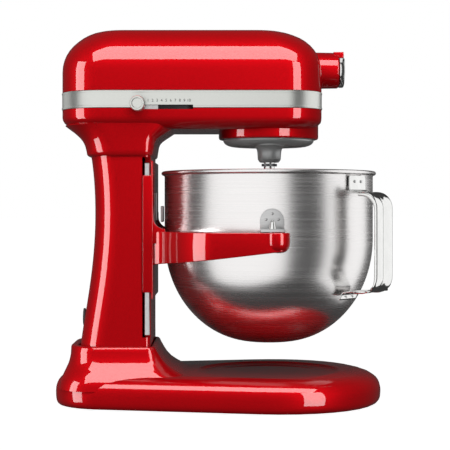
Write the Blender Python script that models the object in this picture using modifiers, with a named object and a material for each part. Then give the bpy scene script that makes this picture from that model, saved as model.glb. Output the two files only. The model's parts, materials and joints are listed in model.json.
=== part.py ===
"""A bowl-lift stand mixer: base, column, head, planetary drive, bowl lift and bowl.

Every dimension is in millimetres, measured from the bowl's axis (x, y = 0) and
from the table (z = 0). The head points along +X and the speed knob is on the -Y
side. The helpers turn millimetres into metres.
"""

from math import acos, atan2, cos, pi, radians, sin, sqrt, tan

import bmesh
import bpy
from mathutils import Vector

MM = 0.001
GAP = 0.35
RING = 32

# Overall
HEIGHT = 416.0
BASE_REAR = -236.2
BASE_FRONT = 125.5

# Base
BASE_BOTTOM = 3.0
BASE_TOP = 37.0
BASE_FRONT_RADIUS = 117.0
BASE_REAR_RADIUS = 58.0
BASE_REAR_HALF_WIDTH = 82.0
SHOULDER = (
    (3.6, 3.0), (1.4, 5.4), (0.3, 10.0), (0.0, 17.0), (1.0, 24.0), (4.2, 30.5), (9.5, 35.2), (15.5, BASE_TOP),
)
DISH_RADIUS = 79.0
DISH_DEPTH = 3.5
DECK_TOP = 44.0
COLLAR_TOP = 68.0
FOOT_RADIUS = 11.0
FOOT_HEIGHT = 6.0
FOOT_PLACES = ((72.0, 58.0), (72.0, -58.0), (-198.0, 44.0), (-198.0, -44.0))
FOOT_STEM_RADIUS = 4.0
FOOT_STEM_TOP = 13.5
SCREW_PLACES = ((-175.0, 51.0), (-175.0, -51.0), (-146.0, 51.0), (-146.0, -51.0))

# Column
COLUMN_TOP = 277.0
COLUMN_HALF_WIDTH = 57.0
COLUMN_FRONT = -130.0
COLUMN_CORE_HALF_WIDTH = 45.0
COLUMN_STATIONS = (
    (277.0, -197.5), (250.0, -194.3), (215.0, -192.9), (150.0, -196.8), (100.0, -204.2), (44.3, -211.0),
)
GLAND_Z = 96.0
RAIL_REAR = -136.7
RAIL_FRONT = -130.8
RAIL_TOP = 268.0
RAIL_BOTTOM = 80.0

# Head
HEAD_REAR = -230.0
HEAD_FRONT = 58.0
HEAD_HALF_WIDTH = 66.0
HEAD_WALL = 3.0
BAND_BOTTOM = 327.0
BAND_TOP = 346.0
BAND_PROUD = 0.5
TRAY_BOTTOM = 304.5
TOP_RADIUS_REAR = 47.0
TOP_RADIUS_FRONT = 50.0
TOP_RADIUS_SIDE = 42.0
GEARCASE_RADIUS = 56.0
GEARCASE_BOTTOM = 295.3
GEARCASE_CEILING = 311.6
GEARCASE_FLOOR = 317.0
GEARCASE_BORE = 52.0

# Gears
PRESSURE = radians(25.0)
MODULE = 2.0
ADDENDUM = 0.8
DEDENDUM = 1.05
THINNING = 0.14
BEVEL_THINNING = 0.2
BEVEL_ADDENDUM = 0.7
RING_TEETH = 42
AGITATOR_TEETH = 14
DRIVE_TEETH = 40
LAYSHAFT_TEETH = 13
CROWN_TEETH = 22
HUB_TEETH = 14
WORM_WHEEL_TEETH = 21
WORM_RADIUS = 7.5
WORM_Z = 362.0
ECCENTRIC = MODULE * (RING_TEETH - AGITATOR_TEETH) / 2
GEAR_DISTANCE = MODULE * (DRIVE_TEETH + LAYSHAFT_TEETH) / 2
LAYSHAFT_Y = WORM_RADIUS + MODULE * WORM_WHEEL_TEETH / 2
LAYSHAFT_X = -sqrt(GEAR_DISTANCE**2 - LAYSHAFT_Y**2)
SPUR_Z = (322.0, 331.0)

# Hub
HUB_Z = 373.5
HUB_END = 78.4
HUB_RADIUS = 20.0
HUB_BORE = 17.0
SOCKET_SIDE = 12.4
HUB_SHAFT_RADIUS = 11.0
HUB_SHAFT_END = 52.0
CAP_RADIUS = 19.2
CAP_HINGE = (81.7, 391.0)

# Planetary
PLANETARY_RADIUS = 51.0
PLANETARY_TOP = 296.0
PLANETARY_BOTTOM = 287.0
POST_BOTTOM = 269.0
BEATER_SHAFT_RADIUS = 6.0
BEATER_SHAFT_BOTTOM = 236.0

# Bowl
BOWL_RADIUS = 117.0
BOWL_WALL = 1.2
BOWL_RIM = 259.6
BOWL_CURVE_TOP = 184.0
BOWL_BOTTOM = 69.0
BOWL_FLAT = 16.0
BEAD_RADIUS = 2.3
HANDLE_ANGLE = radians(-38.5)
HANDLE_HALF_WIDTH = 16.0
HANDLE_REACH = 154.0
HANDLE_THICK = 2.2

# Bowl support and lift
SUPPORT_FRONT = -127.2
SUPPORT_HALF_WIDTH = 60.0
SUPPORT_TOP = 270.0
SUPPORT_BOTTOM = 120.0
FLANGE_BOTTOM = 127.0
ARM_TOP = 193.0
ARM_INNER = 125.0
ARM_OUTER = 141.0
ARM_END = 18.0
YOKE_RADIUS = 122.5
PIN_Y = 131.0
PIN_RADIUS = 3.6
BRACKET_THICK = 2.4
LIFT_TRAVEL = 35.0
CRANK_RADIUS = LIFT_TRAVEL / 2 / sin(radians(45.0))
LIFT_AXIS = (-150.0, 175.0)

# Motor
MOTOR_RADIUS = 39.5
ARMATURE_RADIUS = 24.0

# Speed control
SLOT_REAR = -147.0
SLOT_FRONT = -83.4
SLOT_TOP = 330.2
KNOB_X = -143.0
KNOB_Z = 331.0
KNOB_RADIUS = 8.2

# The frame's origin is under the middle of the base and the bowl handle
HANDLE_REACH_X = HANDLE_REACH * cos(HANDLE_ANGLE) - HANDLE_HALF_WIDTH * sin(HANDLE_ANGLE)
SHIFT_X = -(BASE_REAR + HANDLE_REACH_X) / 2

COLOURS = {
    "enamel": ((0.42, 0.006, 0.012), 0.18, 0.0),
    "satin_metal": ((0.52, 0.53, 0.50), 0.35, 1.0),
    "grey_enamel": ((0.28, 0.29, 0.29), 0.35, 0.3),
    "polished_steel": ((0.62, 0.62, 0.60), 0.22, 1.0),
    "steel": ((0.50, 0.50, 0.50), 0.40, 1.0),
    "gear_steel": ((0.35, 0.35, 0.36), 0.45, 1.0),
    "bronze": ((0.55, 0.36, 0.16), 0.40, 1.0),
    "copper": ((0.60, 0.28, 0.14), 0.45, 1.0),
    "cast_alloy": ((0.45, 0.46, 0.47), 0.55, 1.0),
    "rubber": ((0.02, 0.02, 0.02), 0.80, 0.0),
    "dark_plastic": ((0.03, 0.03, 0.03), 0.50, 0.0),
    "board_green": ((0.03, 0.16, 0.07), 0.55, 0.0),
}


def clear_scene():
    for item in list(bpy.data.objects):
        bpy.data.objects.remove(item, do_unlink=True)


def new_collection(name):
    made = bpy.data.collections.new(name)
    bpy.context.scene.collection.children.link(made)
    return made


clear_scene()
PARTS = new_collection("stand_mixer")
CUTTERS = new_collection("cutters")


def material(name):
    found = bpy.data.materials.get(name)
    if found:
        return found
    colour, roughness, metallic = COLOURS[name]
    made = bpy.data.materials.new(name)
    made.use_nodes = True
    shader = made.node_tree.nodes["Principled BSDF"]
    shader.inputs["Base Color"].default_value = (*colour, 1.0)
    shader.inputs["Roughness"].default_value = roughness
    shader.inputs["Metallic"].default_value = metallic
    return made


# Making shapes


def add_object(name, mesh, at=(0.0, 0.0, 0.0), turn=(0.0, 0.0, 0.0)):
    made = bpy.data.objects.new(name, mesh)
    made.location = Vector(at) * MM
    made.rotation_euler = turn
    PARTS.objects.link(made)
    return made


def mesh_of(name, form):
    mesh = bpy.data.meshes.new(name)
    form.to_mesh(mesh)
    form.free()
    mesh.shade_smooth()
    mesh.set_sharp_from_angle(angle=radians(35.0))
    return mesh


def block(name, low, high, bevel=0.0):
    """A box between two corners, with its edges rounded by bevel."""
    low, high = Vector(low), Vector(high)
    form = bmesh.new()
    bmesh.ops.create_cube(form, size=1.0)
    bmesh.ops.scale(form, vec=(high - low) * MM, verts=form.verts)
    made = add_object(name, mesh_of(name, form), (low + high) / 2)
    if bevel:
        rounding = made.modifiers.new("edges", "BEVEL")
        rounding.width = bevel * MM
        rounding.segments = 1
        rounding.limit_method = "ANGLE"
    return made


def turned(name, profile, at, axis="Z", steps=24, closed=False):
    """A turned shape from (radius, height) points that run down its outer side.

    An open profile starts and ends on the axis, and a closed one is a ring.
    """
    form = bmesh.new()
    points = [form.verts.new((radius * MM, 0.0, height * MM)) for radius, height in profile]
    for first, second in zip(points, points[1:]):
        form.edges.new((first, second))
    if closed:
        form.edges.new((points[-1], points[0]))
    mesh = bpy.data.meshes.new(name)
    form.to_mesh(mesh)
    form.free()
    turn = {"Z": (0, 0, 0), "X": (0, pi / 2, 0), "Y": (-pi / 2, 0, 0)}[axis]
    made = add_object(name, mesh, at, turn)
    screw = made.modifiers.new("turn", "SCREW")
    screw.steps = steps
    screw.render_steps = steps
    screw.use_merge_vertices = True
    screw.merge_threshold = 0.00001
    screw.use_smooth_shade = True
    return made


def rod(name, radius, start, end, at=(0.0, 0.0, 0.0), axis="Z", steps=16):
    """A plain cylinder between two heights along its axis."""
    return turned(name, [(0, end), (radius, end), (radius, start), (0, start)], at, axis, steps)


def ring(name, inner, outer, start, end, at, axis="Z", steps=20):
    """A plain ring between two heights along its axis."""
    outline = [(outer, end), (outer, start), (inner, start), (inner, end)]
    return turned(name, outline, at, axis, steps, closed=True)


def prism(name, outline, start, end, at=(0.0, 0.0, 0.0), turn=(0.0, 0.0, 0.0)):
    """A flat outline with a thickness, made a mesh so that it can be cut."""
    curve = bpy.data.curves.new(name, "CURVE")
    curve.dimensions = "2D"
    curve.fill_mode = "BOTH"
    curve.extrude = (end - start) / 2 * MM
    spline = curve.splines.new("POLY")
    spline.points.add(len(outline) - 1)
    for point, (x, y) in zip(spline.points, outline):
        point.co = (x * MM, y * MM, 0.0, 1.0)
    spline.use_cyclic_u = True
    guide = add_object(name + "_outline", curve)
    bpy.context.view_layer.update()
    graph = bpy.context.evaluated_depsgraph_get()
    mesh = bpy.data.meshes.new_from_object(guide.evaluated_get(graph))
    bpy.data.objects.remove(guide)
    form = bmesh.new()
    form.from_mesh(mesh)
    bmesh.ops.remove_doubles(form, verts=form.verts, dist=0.000002)
    bmesh.ops.translate(form, vec=(0, 0, (start + end) / 2 * MM), verts=form.verts)
    bmesh.ops.recalc_face_normals(form, faces=form.faces)
    form.to_mesh(mesh)
    form.free()
    return add_object(name, mesh, at, turn)


def loft(name, sections, at=(0.0, 0.0, 0.0)):
    """A closed skin through rings that hold the same number of points."""
    form = bmesh.new()
    rings = [[form.verts.new(Vector(point) * MM) for point in section] for section in sections]
    for lower, upper in zip(rings, rings[1:]):
        for i in range(len(lower)):
            j = (i + 1) % len(lower)
            form.faces.new((lower[i], lower[j], upper[j], upper[i]))
    form.faces.new(reversed(rings[0]))
    form.faces.new(rings[-1])
    bmesh.ops.recalc_face_normals(form, faces=form.faces)
    return add_object(name, mesh_of(name, form), at)


def hull(circles, z, count=RING):
    """A ring of points round a few circles, as a belt round pulleys."""
    points = []
    for i in range(count):
        angle = 2 * pi * (i + 0.5) / count
        way = (cos(angle), sin(angle))
        x, y, radius = max(circles, key=lambda c: c[0] * way[0] + c[1] * way[1] + c[2])
        points.append((x + radius * way[0], y + radius * way[1], z))
    return points


def rounded(rear, front, half_width, rear_radius, front_radius, z, count=RING):
    """A rounded rectangle at height z."""
    rear_radius = min(rear_radius, half_width - 0.5)
    front_radius = min(front_radius, half_width - 0.5)
    circles = []
    for side in (-1, 1):
        circles.append((rear + rear_radius, side * (half_width - rear_radius), rear_radius))
        circles.append((front - front_radius, side * (half_width - front_radius), front_radius))
    return hull(circles, z, count)


def helper(tool, target):
    """Hides a tool and fixes it to the piece that it shapes."""
    PARTS.objects.unlink(tool)
    CUTTERS.objects.link(tool)
    tool.hide_render = True
    tool.display_type = "WIRE"
    tool.parent = target
    tool.matrix_parent_inverse = target.matrix_basis.inverted()


def combine(target, tools, operation):
    for tool in tools:
        helper(tool, target)
        step = target.modifiers.new(tool.name, "BOOLEAN")
        step.operation = operation
        step.object = tool


def cut(target, *tools):
    combine(target, tools, "DIFFERENCE")


def join(target, *tools):
    combine(target, tools, "UNION")


def finish(piece, body, finish_name):
    """Gives a piece its material and hangs it on its body's empty."""
    if not piece.data.materials:
        piece.data.materials.append(material(finish_name))
    piece.location -= body.location
    piece.parent = body
    return piece


def body(name, parent=None, at=(0.0, 0.0, 0.0)):
    """An empty on the joint's axis. at is in the machine's own millimetres."""
    made = bpy.data.objects.new(name, None)
    made.empty_display_size = 0.02
    made.location = Vector(at) * MM
    PARTS.objects.link(made)
    if parent:
        made.parent = parent
    return made


# Gears


def polar(radius, angle):
    return (radius * cos(angle), radius * sin(angle))


def gear_outline(teeth, phase=0.0, thinning=THINNING, tip=ADDENDUM, root=DEDENDUM, scale=1.0):
    """Involute teeth. phase is the direction of the middle of one tooth."""
    pitch = MODULE * teeth / 2
    base = pitch * cos(PRESSURE)
    flank = []
    for share in (0.0, 1.0):
        radius = pitch - root * MODULE + (tip + root) * MODULE * share
        angle = acos(min(1.0, base / radius))
        half = pi / 2 / teeth * (1 - thinning) + (tan(PRESSURE) - PRESSURE) - (tan(angle) - angle)
        flank.append((radius * scale, half))
    outline = []
    for tooth in range(teeth):
        middle = phase + 2 * pi * tooth / teeth
        outline += [polar(radius, middle - half) for radius, half in flank]
        outline += [polar(radius, middle + half) for radius, half in reversed(flank)]
    return outline


def bevel_gear(name, teeth, mate_teeth, phase, face_share):
    """Teeth that taper to an apex at the origin. The large end is lowest."""
    sections = []
    for scale in (1.0, 1.0 - face_share):
        height = -MODULE * mate_teeth / 2 * scale
        outline = gear_outline(teeth, phase, BEVEL_THINNING, BEVEL_ADDENDUM, scale=scale)
        sections.append([(x, y, height) for x, y in outline])
    return loft(name, sections)


def twisted_gear(name, teeth, phase, thickness, twist):
    """A gear whose teeth lean by twist (radians per millimetre)."""
    sections = []
    for share in (-0.5, 0.0, 0.5):
        height = thickness * share
        outline = gear_outline(teeth, phase + twist * height)
        sections.append([(x, y, height) for x, y in outline])
    return loft(name, sections)


def worm_thread(name, start, end, centre, axis_z):
    """A right-handed thread round an axis along X. A groove faces +Y at x = centre."""
    lead = pi * MODULE
    half_pitch_width = lead / 4 * (1 - 2 * THINNING)
    root = WORM_RADIUS - DEDENDUM * MODULE - 0.3
    tip = WORM_RADIUS + ADDENDUM * MODULE
    half_root = half_pitch_width + (WORM_RADIUS - root) * tan(PRESSURE)
    half_tip = half_pitch_width - (tip - WORM_RADIUS) * tan(PRESSURE)
    corners = ((-half_root, root), (-half_tip, tip), (half_tip, tip), (half_root, root))
    per_turn = 8
    count = int((end - start) / lead * per_turn)
    sections = []
    for i in range(count + 1):
        x = start + lead * i / per_turn
        angle = 2 * pi * (x - centre - lead / 2) / lead
        sections.append(
            [(x + along, r * cos(angle), axis_z + r * sin(angle)) for along, r in corners]
        )
    return loft(name, sections)


# Bodies, each an empty on its joint's axis

ROOT = body("stand")
CARRIAGE = body("bowl_lift_slide", ROOT)
BOWL_BODY = body("bowl_lift_off", CARRIAGE)
LEVER_BODY = body("lift_lever_hinge", ROOT, (LIFT_AXIS[0], 0.0, LIFT_AXIS[1]))
PLANETARY_BODY = body("planetary_spin", ROOT)
BEATER_BODY = body("beater_spin", PLANETARY_BODY, (0.0, -ECCENTRIC, 0.0))
LAYSHAFT_BODY = body("layshaft_spin", ROOT, (LAYSHAFT_X, LAYSHAFT_Y, 0.0))
MOTOR_BODY = body("motor_spin", ROOT, (0.0, 0.0, WORM_Z))
HUB_BODY = body("hub_spin", ROOT, (0.0, 0.0, HUB_Z))
CAP_BODY = body("hub_cap_hinge", ROOT, (CAP_HINGE[0], 0.0, CAP_HINGE[1]))
KNOB_BODY = body("attachment_knob_turn", ROOT, (68.0, 0.0, HUB_Z))
SPEED_BODY = body("speed_slide", ROOT)


# Base


def base_section(inset, z):
    """The plan drawn in by inset, and half as much again at the front."""
    rear = BASE_REAR + BASE_REAR_RADIUS
    front = BASE_FRONT - BASE_FRONT_RADIUS - inset / 2
    circles = [(front, 0.0, BASE_FRONT_RADIUS - inset)]
    for side in (-1, 1):
        y = side * (BASE_REAR_HALF_WIDTH - BASE_REAR_RADIUS)
        circles.append((rear, y, BASE_REAR_RADIUS - inset))
    return hull(circles, z)


def make_base():
    plate = loft("base_casting", [base_section(inset, z) for inset, z in SHOULDER])
    collar = loft(
        "base_collar",
        [
            rounded(-230.0, -78.0, 80.0, 34.0, 30.0, 26.0),
            rounded(-226.0, -96.0, 76.0, 34.0, 26.0, 37.0),
            rounded(-221.8, -111.0, 68.5, 30.0, 20.0, 46.0),
            rounded(-219.3, -119.5, 64.5, 26.0, 14.0, 57.0),
            rounded(-219.2, -124.5, 63.0, 24.0, 9.0, COLLAR_TOP - 2),
            rounded(-217.3, -126.5, 61.0, 22.0, 7.5, COLLAR_TOP),
        ],
    )
    join(plate, collar)
    hollow_stations = ((11.0, -2.0), (11.0, 14.0), (22.0, 29.0))
    hollow = loft("base_hollow", [base_section(inset, z) for inset, z in hollow_stations])
    collar_hollow = loft(
        "collar_hollow",
        [
            rounded(-211.0, -130.0, 60.0, 22.0, 10.0, 24.0),
            rounded(-211.0, -130.0, 58.0, 22.0, 10.0, 38.5),
        ],
    )
    foot_well = loft(
        "column_well",
        [
            rounded(-211.4, COLUMN_FRONT + GAP + 0.3, COLUMN_HALF_WIDTH + GAP, 20.0, 6.5, DECK_TOP),
            rounded(-207.8, COLUMN_FRONT + GAP + 0.3, COLUMN_HALF_WIDTH + GAP, 20.0, 6.5, COLLAR_TOP + 5),
        ],
    )
    floor = BASE_TOP - DISH_DEPTH
    bowl_dish = [(0, 50), (DISH_RADIUS + 14, 50), (DISH_RADIUS, BASE_TOP - 0.6)]
    bowl_dish += [(DISH_RADIUS - 12, floor), (0, floor)]
    cut(plate, hollow, collar_hollow, foot_well, turned("dish", bowl_dish, (0, 0, 0), steps=36))
    for i, (x, y) in enumerate(FOOT_PLACES):
        join(plate, rod(f"foot_boss_{i}", FOOT_RADIUS + 4.5, BASE_BOTTOM + 0.4, 30.5, (x, y, 0), steps=12))
    stem = FOOT_STEM_RADIUS
    for i, (x, y) in enumerate(FOOT_PLACES):
        wide = FOOT_RADIUS + GAP
        seat = FOOT_HEIGHT + GAP
        socket = [(0, 15), (stem + 0.4, 15), (stem + 0.4, seat), (wide, seat), (wide, -2), (0, -2)]
        cut(plate, turned(f"foot_socket_{i}", socket, (x, y, 0), steps=12))
    for i, (x, y) in enumerate(SCREW_PLACES):
        cut(plate, rod(f"screw_hole_{i}", 3.4, 30.0, 50.0, (x, y, 0), steps=12))
    finish(plate, ROOT, "enamel")
    profile = [(0, FOOT_STEM_TOP), (stem, FOOT_STEM_TOP), (stem, FOOT_HEIGHT), (FOOT_RADIUS, FOOT_HEIGHT)]
    profile += [(FOOT_RADIUS, 1), (FOOT_RADIUS - 1, 0), (0, 0)]
    for i, (x, y) in enumerate(FOOT_PLACES):
        finish(turned(f"rubber_foot_{i + 1}", profile, (x, y, 0), steps=12), ROOT, "rubber")


def make_column():
    column = loft(
        "column",
        [
            rounded(rear, COLUMN_FRONT, COLUMN_HALF_WIDTH, 20.0, 6.0, z)
            for z, rear in reversed(COLUMN_STATIONS)
        ],
    )
    core = loft(
        "column_core",
        [
            rounded(rear + 6, COLUMN_FRONT - 5, COLUMN_CORE_HALF_WIDTH, 15.0, 4.0, z + shift)
            for (z, rear), shift in zip(reversed(COLUMN_STATIONS), (-5, 0, 0, 0, 0, 5))
        ],
    )
    cut(column, core)
    for side in (-1, 1):
        edges = sorted((side * 49.7, side * 80.0))
        step = block(f"rail_step_{side}", (-138.9, edges[0], RAIL_BOTTOM - 2), (-120, edges[1], RAIL_TOP + 6))
        cut(column, step)
    slot_low = LIFT_AXIS[1] - LIFT_TRAVEL / 2 - 14
    slot_high = LIFT_AXIS[1] + LIFT_TRAVEL / 2 + 14
    cut(column, block("lug_slot", (-140, -5.2, slot_low), (-120, 5.2, slot_high)))
    cut(column, rod("lever_bore", 6.4, 40, 70, (LIFT_AXIS[0], 0, LIFT_AXIS[1]), "Y", 20))
    cut(column, rod("gland_bore", 6.6, -230, -190, (0, 0, GLAND_Z), "X"))
    for i, (x, y) in enumerate(SCREW_PLACES):
        cut(column, rod(f"screw_thread_{i}", 3.0, 40.0, 58.0, (x, y, 0), steps=12))
    finish(column, ROOT, "enamel")
    for side, name in ((-1, "left"), (1, "right")):
        edges = sorted((side * 50.0, side * 55.0))
        low = (RAIL_REAR, edges[0], RAIL_BOTTOM)
        high = (RAIL_FRONT, edges[1], RAIL_TOP)
        finish(block(f"guide_rail_{name}", low, high, 0.8), ROOT, "steel")
    for i, (x, y) in enumerate(SCREW_PLACES):
        profile = [(0, 56), (2.6, 56), (2.6, 38.2), (6.0, 38.2), (6.0, 34.5), (0, 34.5)]
        finish(turned(f"column_screw_{i + 1}", profile, (x, y, 0), steps=8), ROOT, "steel")
    gland = [(10.0, 2.0), (10.0, 0.0), (6.2, -0.4), (6.2, -9.0), (3.6, -9.0), (3.6, 2.0)]
    finish(turned("cord_gland", gland, (gland_x(), 0, GLAND_Z), "X", 14, True), ROOT, "rubber")
    bpy.data.objects["cord_gland"].rotation_euler = (0, -pi / 2, 0)


def gland_x():
    """The column's rear face at the gland's height."""
    (upper_z, upper_x), (lower_z, lower_x) = COLUMN_STATIONS[4], COLUMN_STATIONS[5]
    share = (upper_z - GLAND_Z) / (upper_z - lower_z)
    return upper_x + (lower_x - upper_x) * share - 1.6


# Head


def head_section(z, rear=HEAD_REAR, front=HEAD_FRONT, half_width=HEAD_HALF_WIDTH, inset=0.0):
    return rounded(rear + inset, front - inset, half_width - inset, 50.0 - inset, 40.0 - inset, z)


def top_sections(inset):
    """From the band up over the crown, each quarter turn with its own radius."""
    sections = [head_section(BAND_TOP + 0.3 - (5 if inset else 0), inset=inset)]
    for turn in (0, 25, 47, 66, 80, 90):
        angle = radians(turn)
        drop = 1 - cos(angle)
        rear = HEAD_REAR + TOP_RADIUS_REAR * drop
        front = HEAD_FRONT - TOP_RADIUS_FRONT * drop
        half = HEAD_HALF_WIDTH - TOP_RADIUS_SIDE * drop
        z = HEIGHT - TOP_RADIUS_REAR * (1 - sin(angle))
        sections.append(head_section(z - inset, rear, front, half, inset))
    return sections


def make_cover():
    cover = loft("head_top_cover", top_sections(0.0))
    cut(cover, loft("cover_hollow", top_sections(HEAD_WALL)))
    barrel = [(0, HUB_END), (HUB_RADIUS - 0.7, HUB_END), (HUB_RADIUS, HUB_END - 1)]
    barrel += [(HUB_RADIUS + 0.6, 28), (0, 28)]
    join(cover, turned("hub_barrel", barrel, (0, 0, HUB_Z), "X", 32))
    for side in (-1, 1):
        edges = sorted((side * 8.7, side * 11.5))
        lug = block(f"cap_lug_{side}", (HUB_END - 6, edges[0], 386.5), (84.0, edges[1], 393.4))
        cut(lug, rod(f"cap_pin_bore_{side}", 1.4, -20, 20, (CAP_HINGE[0], 0, CAP_HINGE[1]), "Y", 10))
        join(cover, lug)
    cut(cover, rod("hub_bore", HUB_BORE, 20, 90, (0, 0, HUB_Z), "X", 30))
    cut(cover, rod("clamp_bore", 3.4, 10, 30, (68, 0, HUB_Z), "Y", 12))
    finish(cover, ROOT, "enamel")


def make_band():
    outer = [head_section(z, inset=-BAND_PROUD) for z in (BAND_BOTTOM, BAND_TOP)]
    inner = [head_section(z, inset=2.2) for z in (BAND_BOTTOM - 5, BAND_TOP + 5)]
    band = loft("trim_band", outer)
    cut(band, loft("band_hollow", inner))
    cut(band, block("band_slot", (SLOT_REAR, -80, BAND_BOTTOM - 3), (SLOT_FRONT, -55, SLOT_TOP)))
    finish(band, ROOT, "satin_metal")


def make_housing():
    """The tray under the motor, the neck on the column and the round gear case."""
    tray = [
        head_section(BAND_BOTTOM - 0.3),
        head_section(317.0),
        rounded(HEAD_REAR + 2, 57.4, 64.6, 49.0, 40.0, 312.5),
        rounded(HEAD_REAR + 8, 52.0, 61.0, 46.0, 38.0, 308.5),
        rounded(HEAD_REAR + 15, 45.0, 56.5, 42.0, 36.0, 305.8),
        rounded(HEAD_REAR + 24, 36.0, 50.0, 38.0, 34.0, TRAY_BOTTOM),
    ]
    housing = loft("head_lower_housing", list(reversed(tray)))
    neck = [
        rounded(-200.0, -129.5, 58.5, 21.0, 8.0, COLUMN_TOP + GAP),
        rounded(-201.5, -128.3, 59.0, 22.0, 9.0, 286.0),
        rounded(-204.7, -126.3, 59.5, 25.0, 11.0, 293.0),
        rounded(-210.5, -118.5, 60.0, 30.0, 16.0, 300.0),
        rounded(-218.5, -108.5, 60.5, 38.0, 22.0, 306.0),
        rounded(-226.0, -101.0, 61.0, 44.0, 26.0, 311.5),
    ]
    join(housing, loft("neck", neck))
    case = [(0, GEARCASE_FLOOR), (GEARCASE_RADIUS, GEARCASE_FLOOR), (GEARCASE_RADIUS, GEARCASE_BOTTOM + 1)]
    case += [(GEARCASE_RADIUS - 1, GEARCASE_BOTTOM), (0, GEARCASE_BOTTOM)]
    hollow = [
        rounded(HEAD_REAR + 19, 42.0, 54.0, 40.0, 36.0, 307.8),
        rounded(HEAD_REAR + 12, 48.0, 58.0, 43.0, 38.0, 311.0),
        rounded(HEAD_REAR + 6, 53.0, 61.6, 46.0, 38.0, 315.0),
        head_section(320.0, inset=HEAD_WALL),
        head_section(BAND_BOTTOM + 6, inset=HEAD_WALL),
    ]
    cut(housing, loft("tray_hollow", hollow))
    passage = [
        rounded(-193.0, -135.0, 50.0, 15.0, 5.0, COLUMN_TOP - 10),
        rounded(-193.0, -135.0, 50.0, 15.0, 5.0, 313.0),
    ]
    cut(housing, loft("neck_passage", passage))
    join(housing, turned("gear_case", case, (0, 0, 0), steps=32))
    join(housing, rod("layshaft_boss", 10.0, 306.0, GEARCASE_FLOOR - 0.1, (LAYSHAFT_X, LAYSHAFT_Y, 0)))
    cut(housing, rod("gear_case_hollow", GEARCASE_BORE, GEARCASE_BOTTOM - 5, GEARCASE_CEILING, steps=32))
    cut(housing, rod("bearing_bore", 11.3, 300, 330))
    slot = block("housing_slot", (SLOT_REAR, -80, BAND_BOTTOM - 1.6), (SLOT_FRONT, -55, BAND_BOTTOM + 5))
    cut(housing, slot)
    finish(housing, ROOT, "enamel")
    finish(ring("shaft_bearing", 6.35, 11.0, 311.9, 320.6, (0, 0, 0)), ROOT, "bronze")


def make_hub():
    crown_end = MODULE * CROWN_TEETH / 2
    gear = bevel_gear("hub_drive_gear", HUB_TEETH, CROWN_TEETH, pi / HUB_TEETH, 0.36)
    gear.rotation_euler = (0, -pi / 2, 0)
    gear.location = (0, 0, HUB_Z * MM)
    axis = (0, 0, HUB_Z)
    join(gear, rod("hub_shaft", HUB_SHAFT_RADIUS - 0.2, crown_end - 1.2, HUB_SHAFT_END, axis, "X", 20))
    half = SOCKET_SIDE / 2
    cut(gear, block("drive_socket", (32, -half, HUB_Z - half), (60, half, HUB_Z + half)))
    finish(gear, HUB_BODY, "gear_steel")
    finish(ring("hub_bushing", HUB_SHAFT_RADIUS + 0.15, HUB_BORE - GAP, 30, 50, axis, "X"), ROOT, "bronze")
    cap_rear = HUB_END + 0.6
    cap_profile = [(0, 84.7), (CAP_RADIUS - 2, 84.7), (CAP_RADIUS, 83.2)]
    cap_profile += [(CAP_RADIUS, cap_rear), (0, cap_rear)]
    cap = turned("hub_cap", cap_profile, axis, "X", 32)
    for side in (-1, 1):
        edges = sorted((side * 8.3, side * 25.0))
        cut(cap, block(f"cap_notch_{side}", (70, edges[0], 385.9), (90, edges[1], 400)))
    cut(cap, rod("cap_bore", 1.55, -20, 20, (CAP_HINGE[0], 0, CAP_HINGE[1]), "Y", 10))
    finish(cap, CAP_BODY, "polished_steel")
    finish(rod("hub_cap_pin", 1.1, -11.3, 11.3, (CAP_HINGE[0], 0, CAP_HINGE[1]), "Y", 10), ROOT, "steel")
    knob = [(0, 41), (8.5, 41), (10.5, 39), (10.5, 28), (9.0, 26)]
    knob += [(5.0, 24), (3.0, 24), (3.0, 15.0), (0, 15.0)]
    finish(turned("attachment_knob", knob, (68, 0, HUB_Z), "Y", 16), KNOB_BODY, "dark_plastic")


def make_planetary():
    rim = PLANETARY_RADIUS
    disc = [(0, 308), (9.6, 308), (9.6, PLANETARY_TOP)]
    disc += [(rim - 0.8, PLANETARY_TOP), (rim, PLANETARY_TOP - 0.8)]
    disc += [(rim - 0.6, 292.5), (rim - 2.6, 289.8), (rim - 7, 288), (0, PLANETARY_BOTTOM)]
    planetary = turned("planetary", disc, (0, 0, 0), steps=28)
    post = [(0, 291), (18.0, 291), (17.2, 287.2), (14.6, 284.6), (13.2, 281), (12.8, 276)]
    post += [(12.3, 272), (10.8, 269.6), (9.0, POST_BOTTOM), (0, POST_BOTTOM)]
    join(planetary, turned("beater_post", post, (0, -ECCENTRIC, 0), steps=16))
    cut(planetary, rod("beater_bore", BEATER_SHAFT_RADIUS + GAP, 260, 320, (0, -ECCENTRIC, 0)))
    cut(planetary, rod("drive_bore", 6.3, 290, 320))
    cut(planetary, rod("drive_pin_bore", 2.2, -20, 20, (0, 0, 302.5), "X", 12))
    finish(planetary, PLANETARY_BODY, "grey_enamel")
    shaft = rod("vertical_shaft", 6.0, 290.4, 384.0, steps=20)
    cut(shaft, rod("shaft_pin_bore", 2.2, -20, 20, (0, 0, 302.5), "X", 12))
    finish(shaft, PLANETARY_BODY, "steel")
    finish(rod("drive_pin", 1.85, -9.3, 9.3, (0, 0, 302.5), "X", 12), PLANETARY_BODY, "steel")
    layshaft_way = atan2(LAYSHAFT_Y, LAYSHAFT_X)
    drive = prism("planetary_drive_gear", gear_outline(DRIVE_TEETH, layshaft_way), *SPUR_Z)
    cut(drive, rod("drive_gear_bore", 6.3, 300, 350))
    finish(drive, PLANETARY_BODY, "gear_steel")
    crown = bevel_gear("centre_bevel_gear", CROWN_TEETH, HUB_TEETH, 0.0, 0.30)
    crown.location = (0, 0, HUB_Z * MM)
    join(crown, rod("crown_hub", 15.0, SPUR_Z[1] + GAP, 361.5, steps=28))
    cut(crown, rod("crown_bore", 6.3, 320, 380))
    finish(crown, PLANETARY_BODY, "gear_steel")


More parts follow.
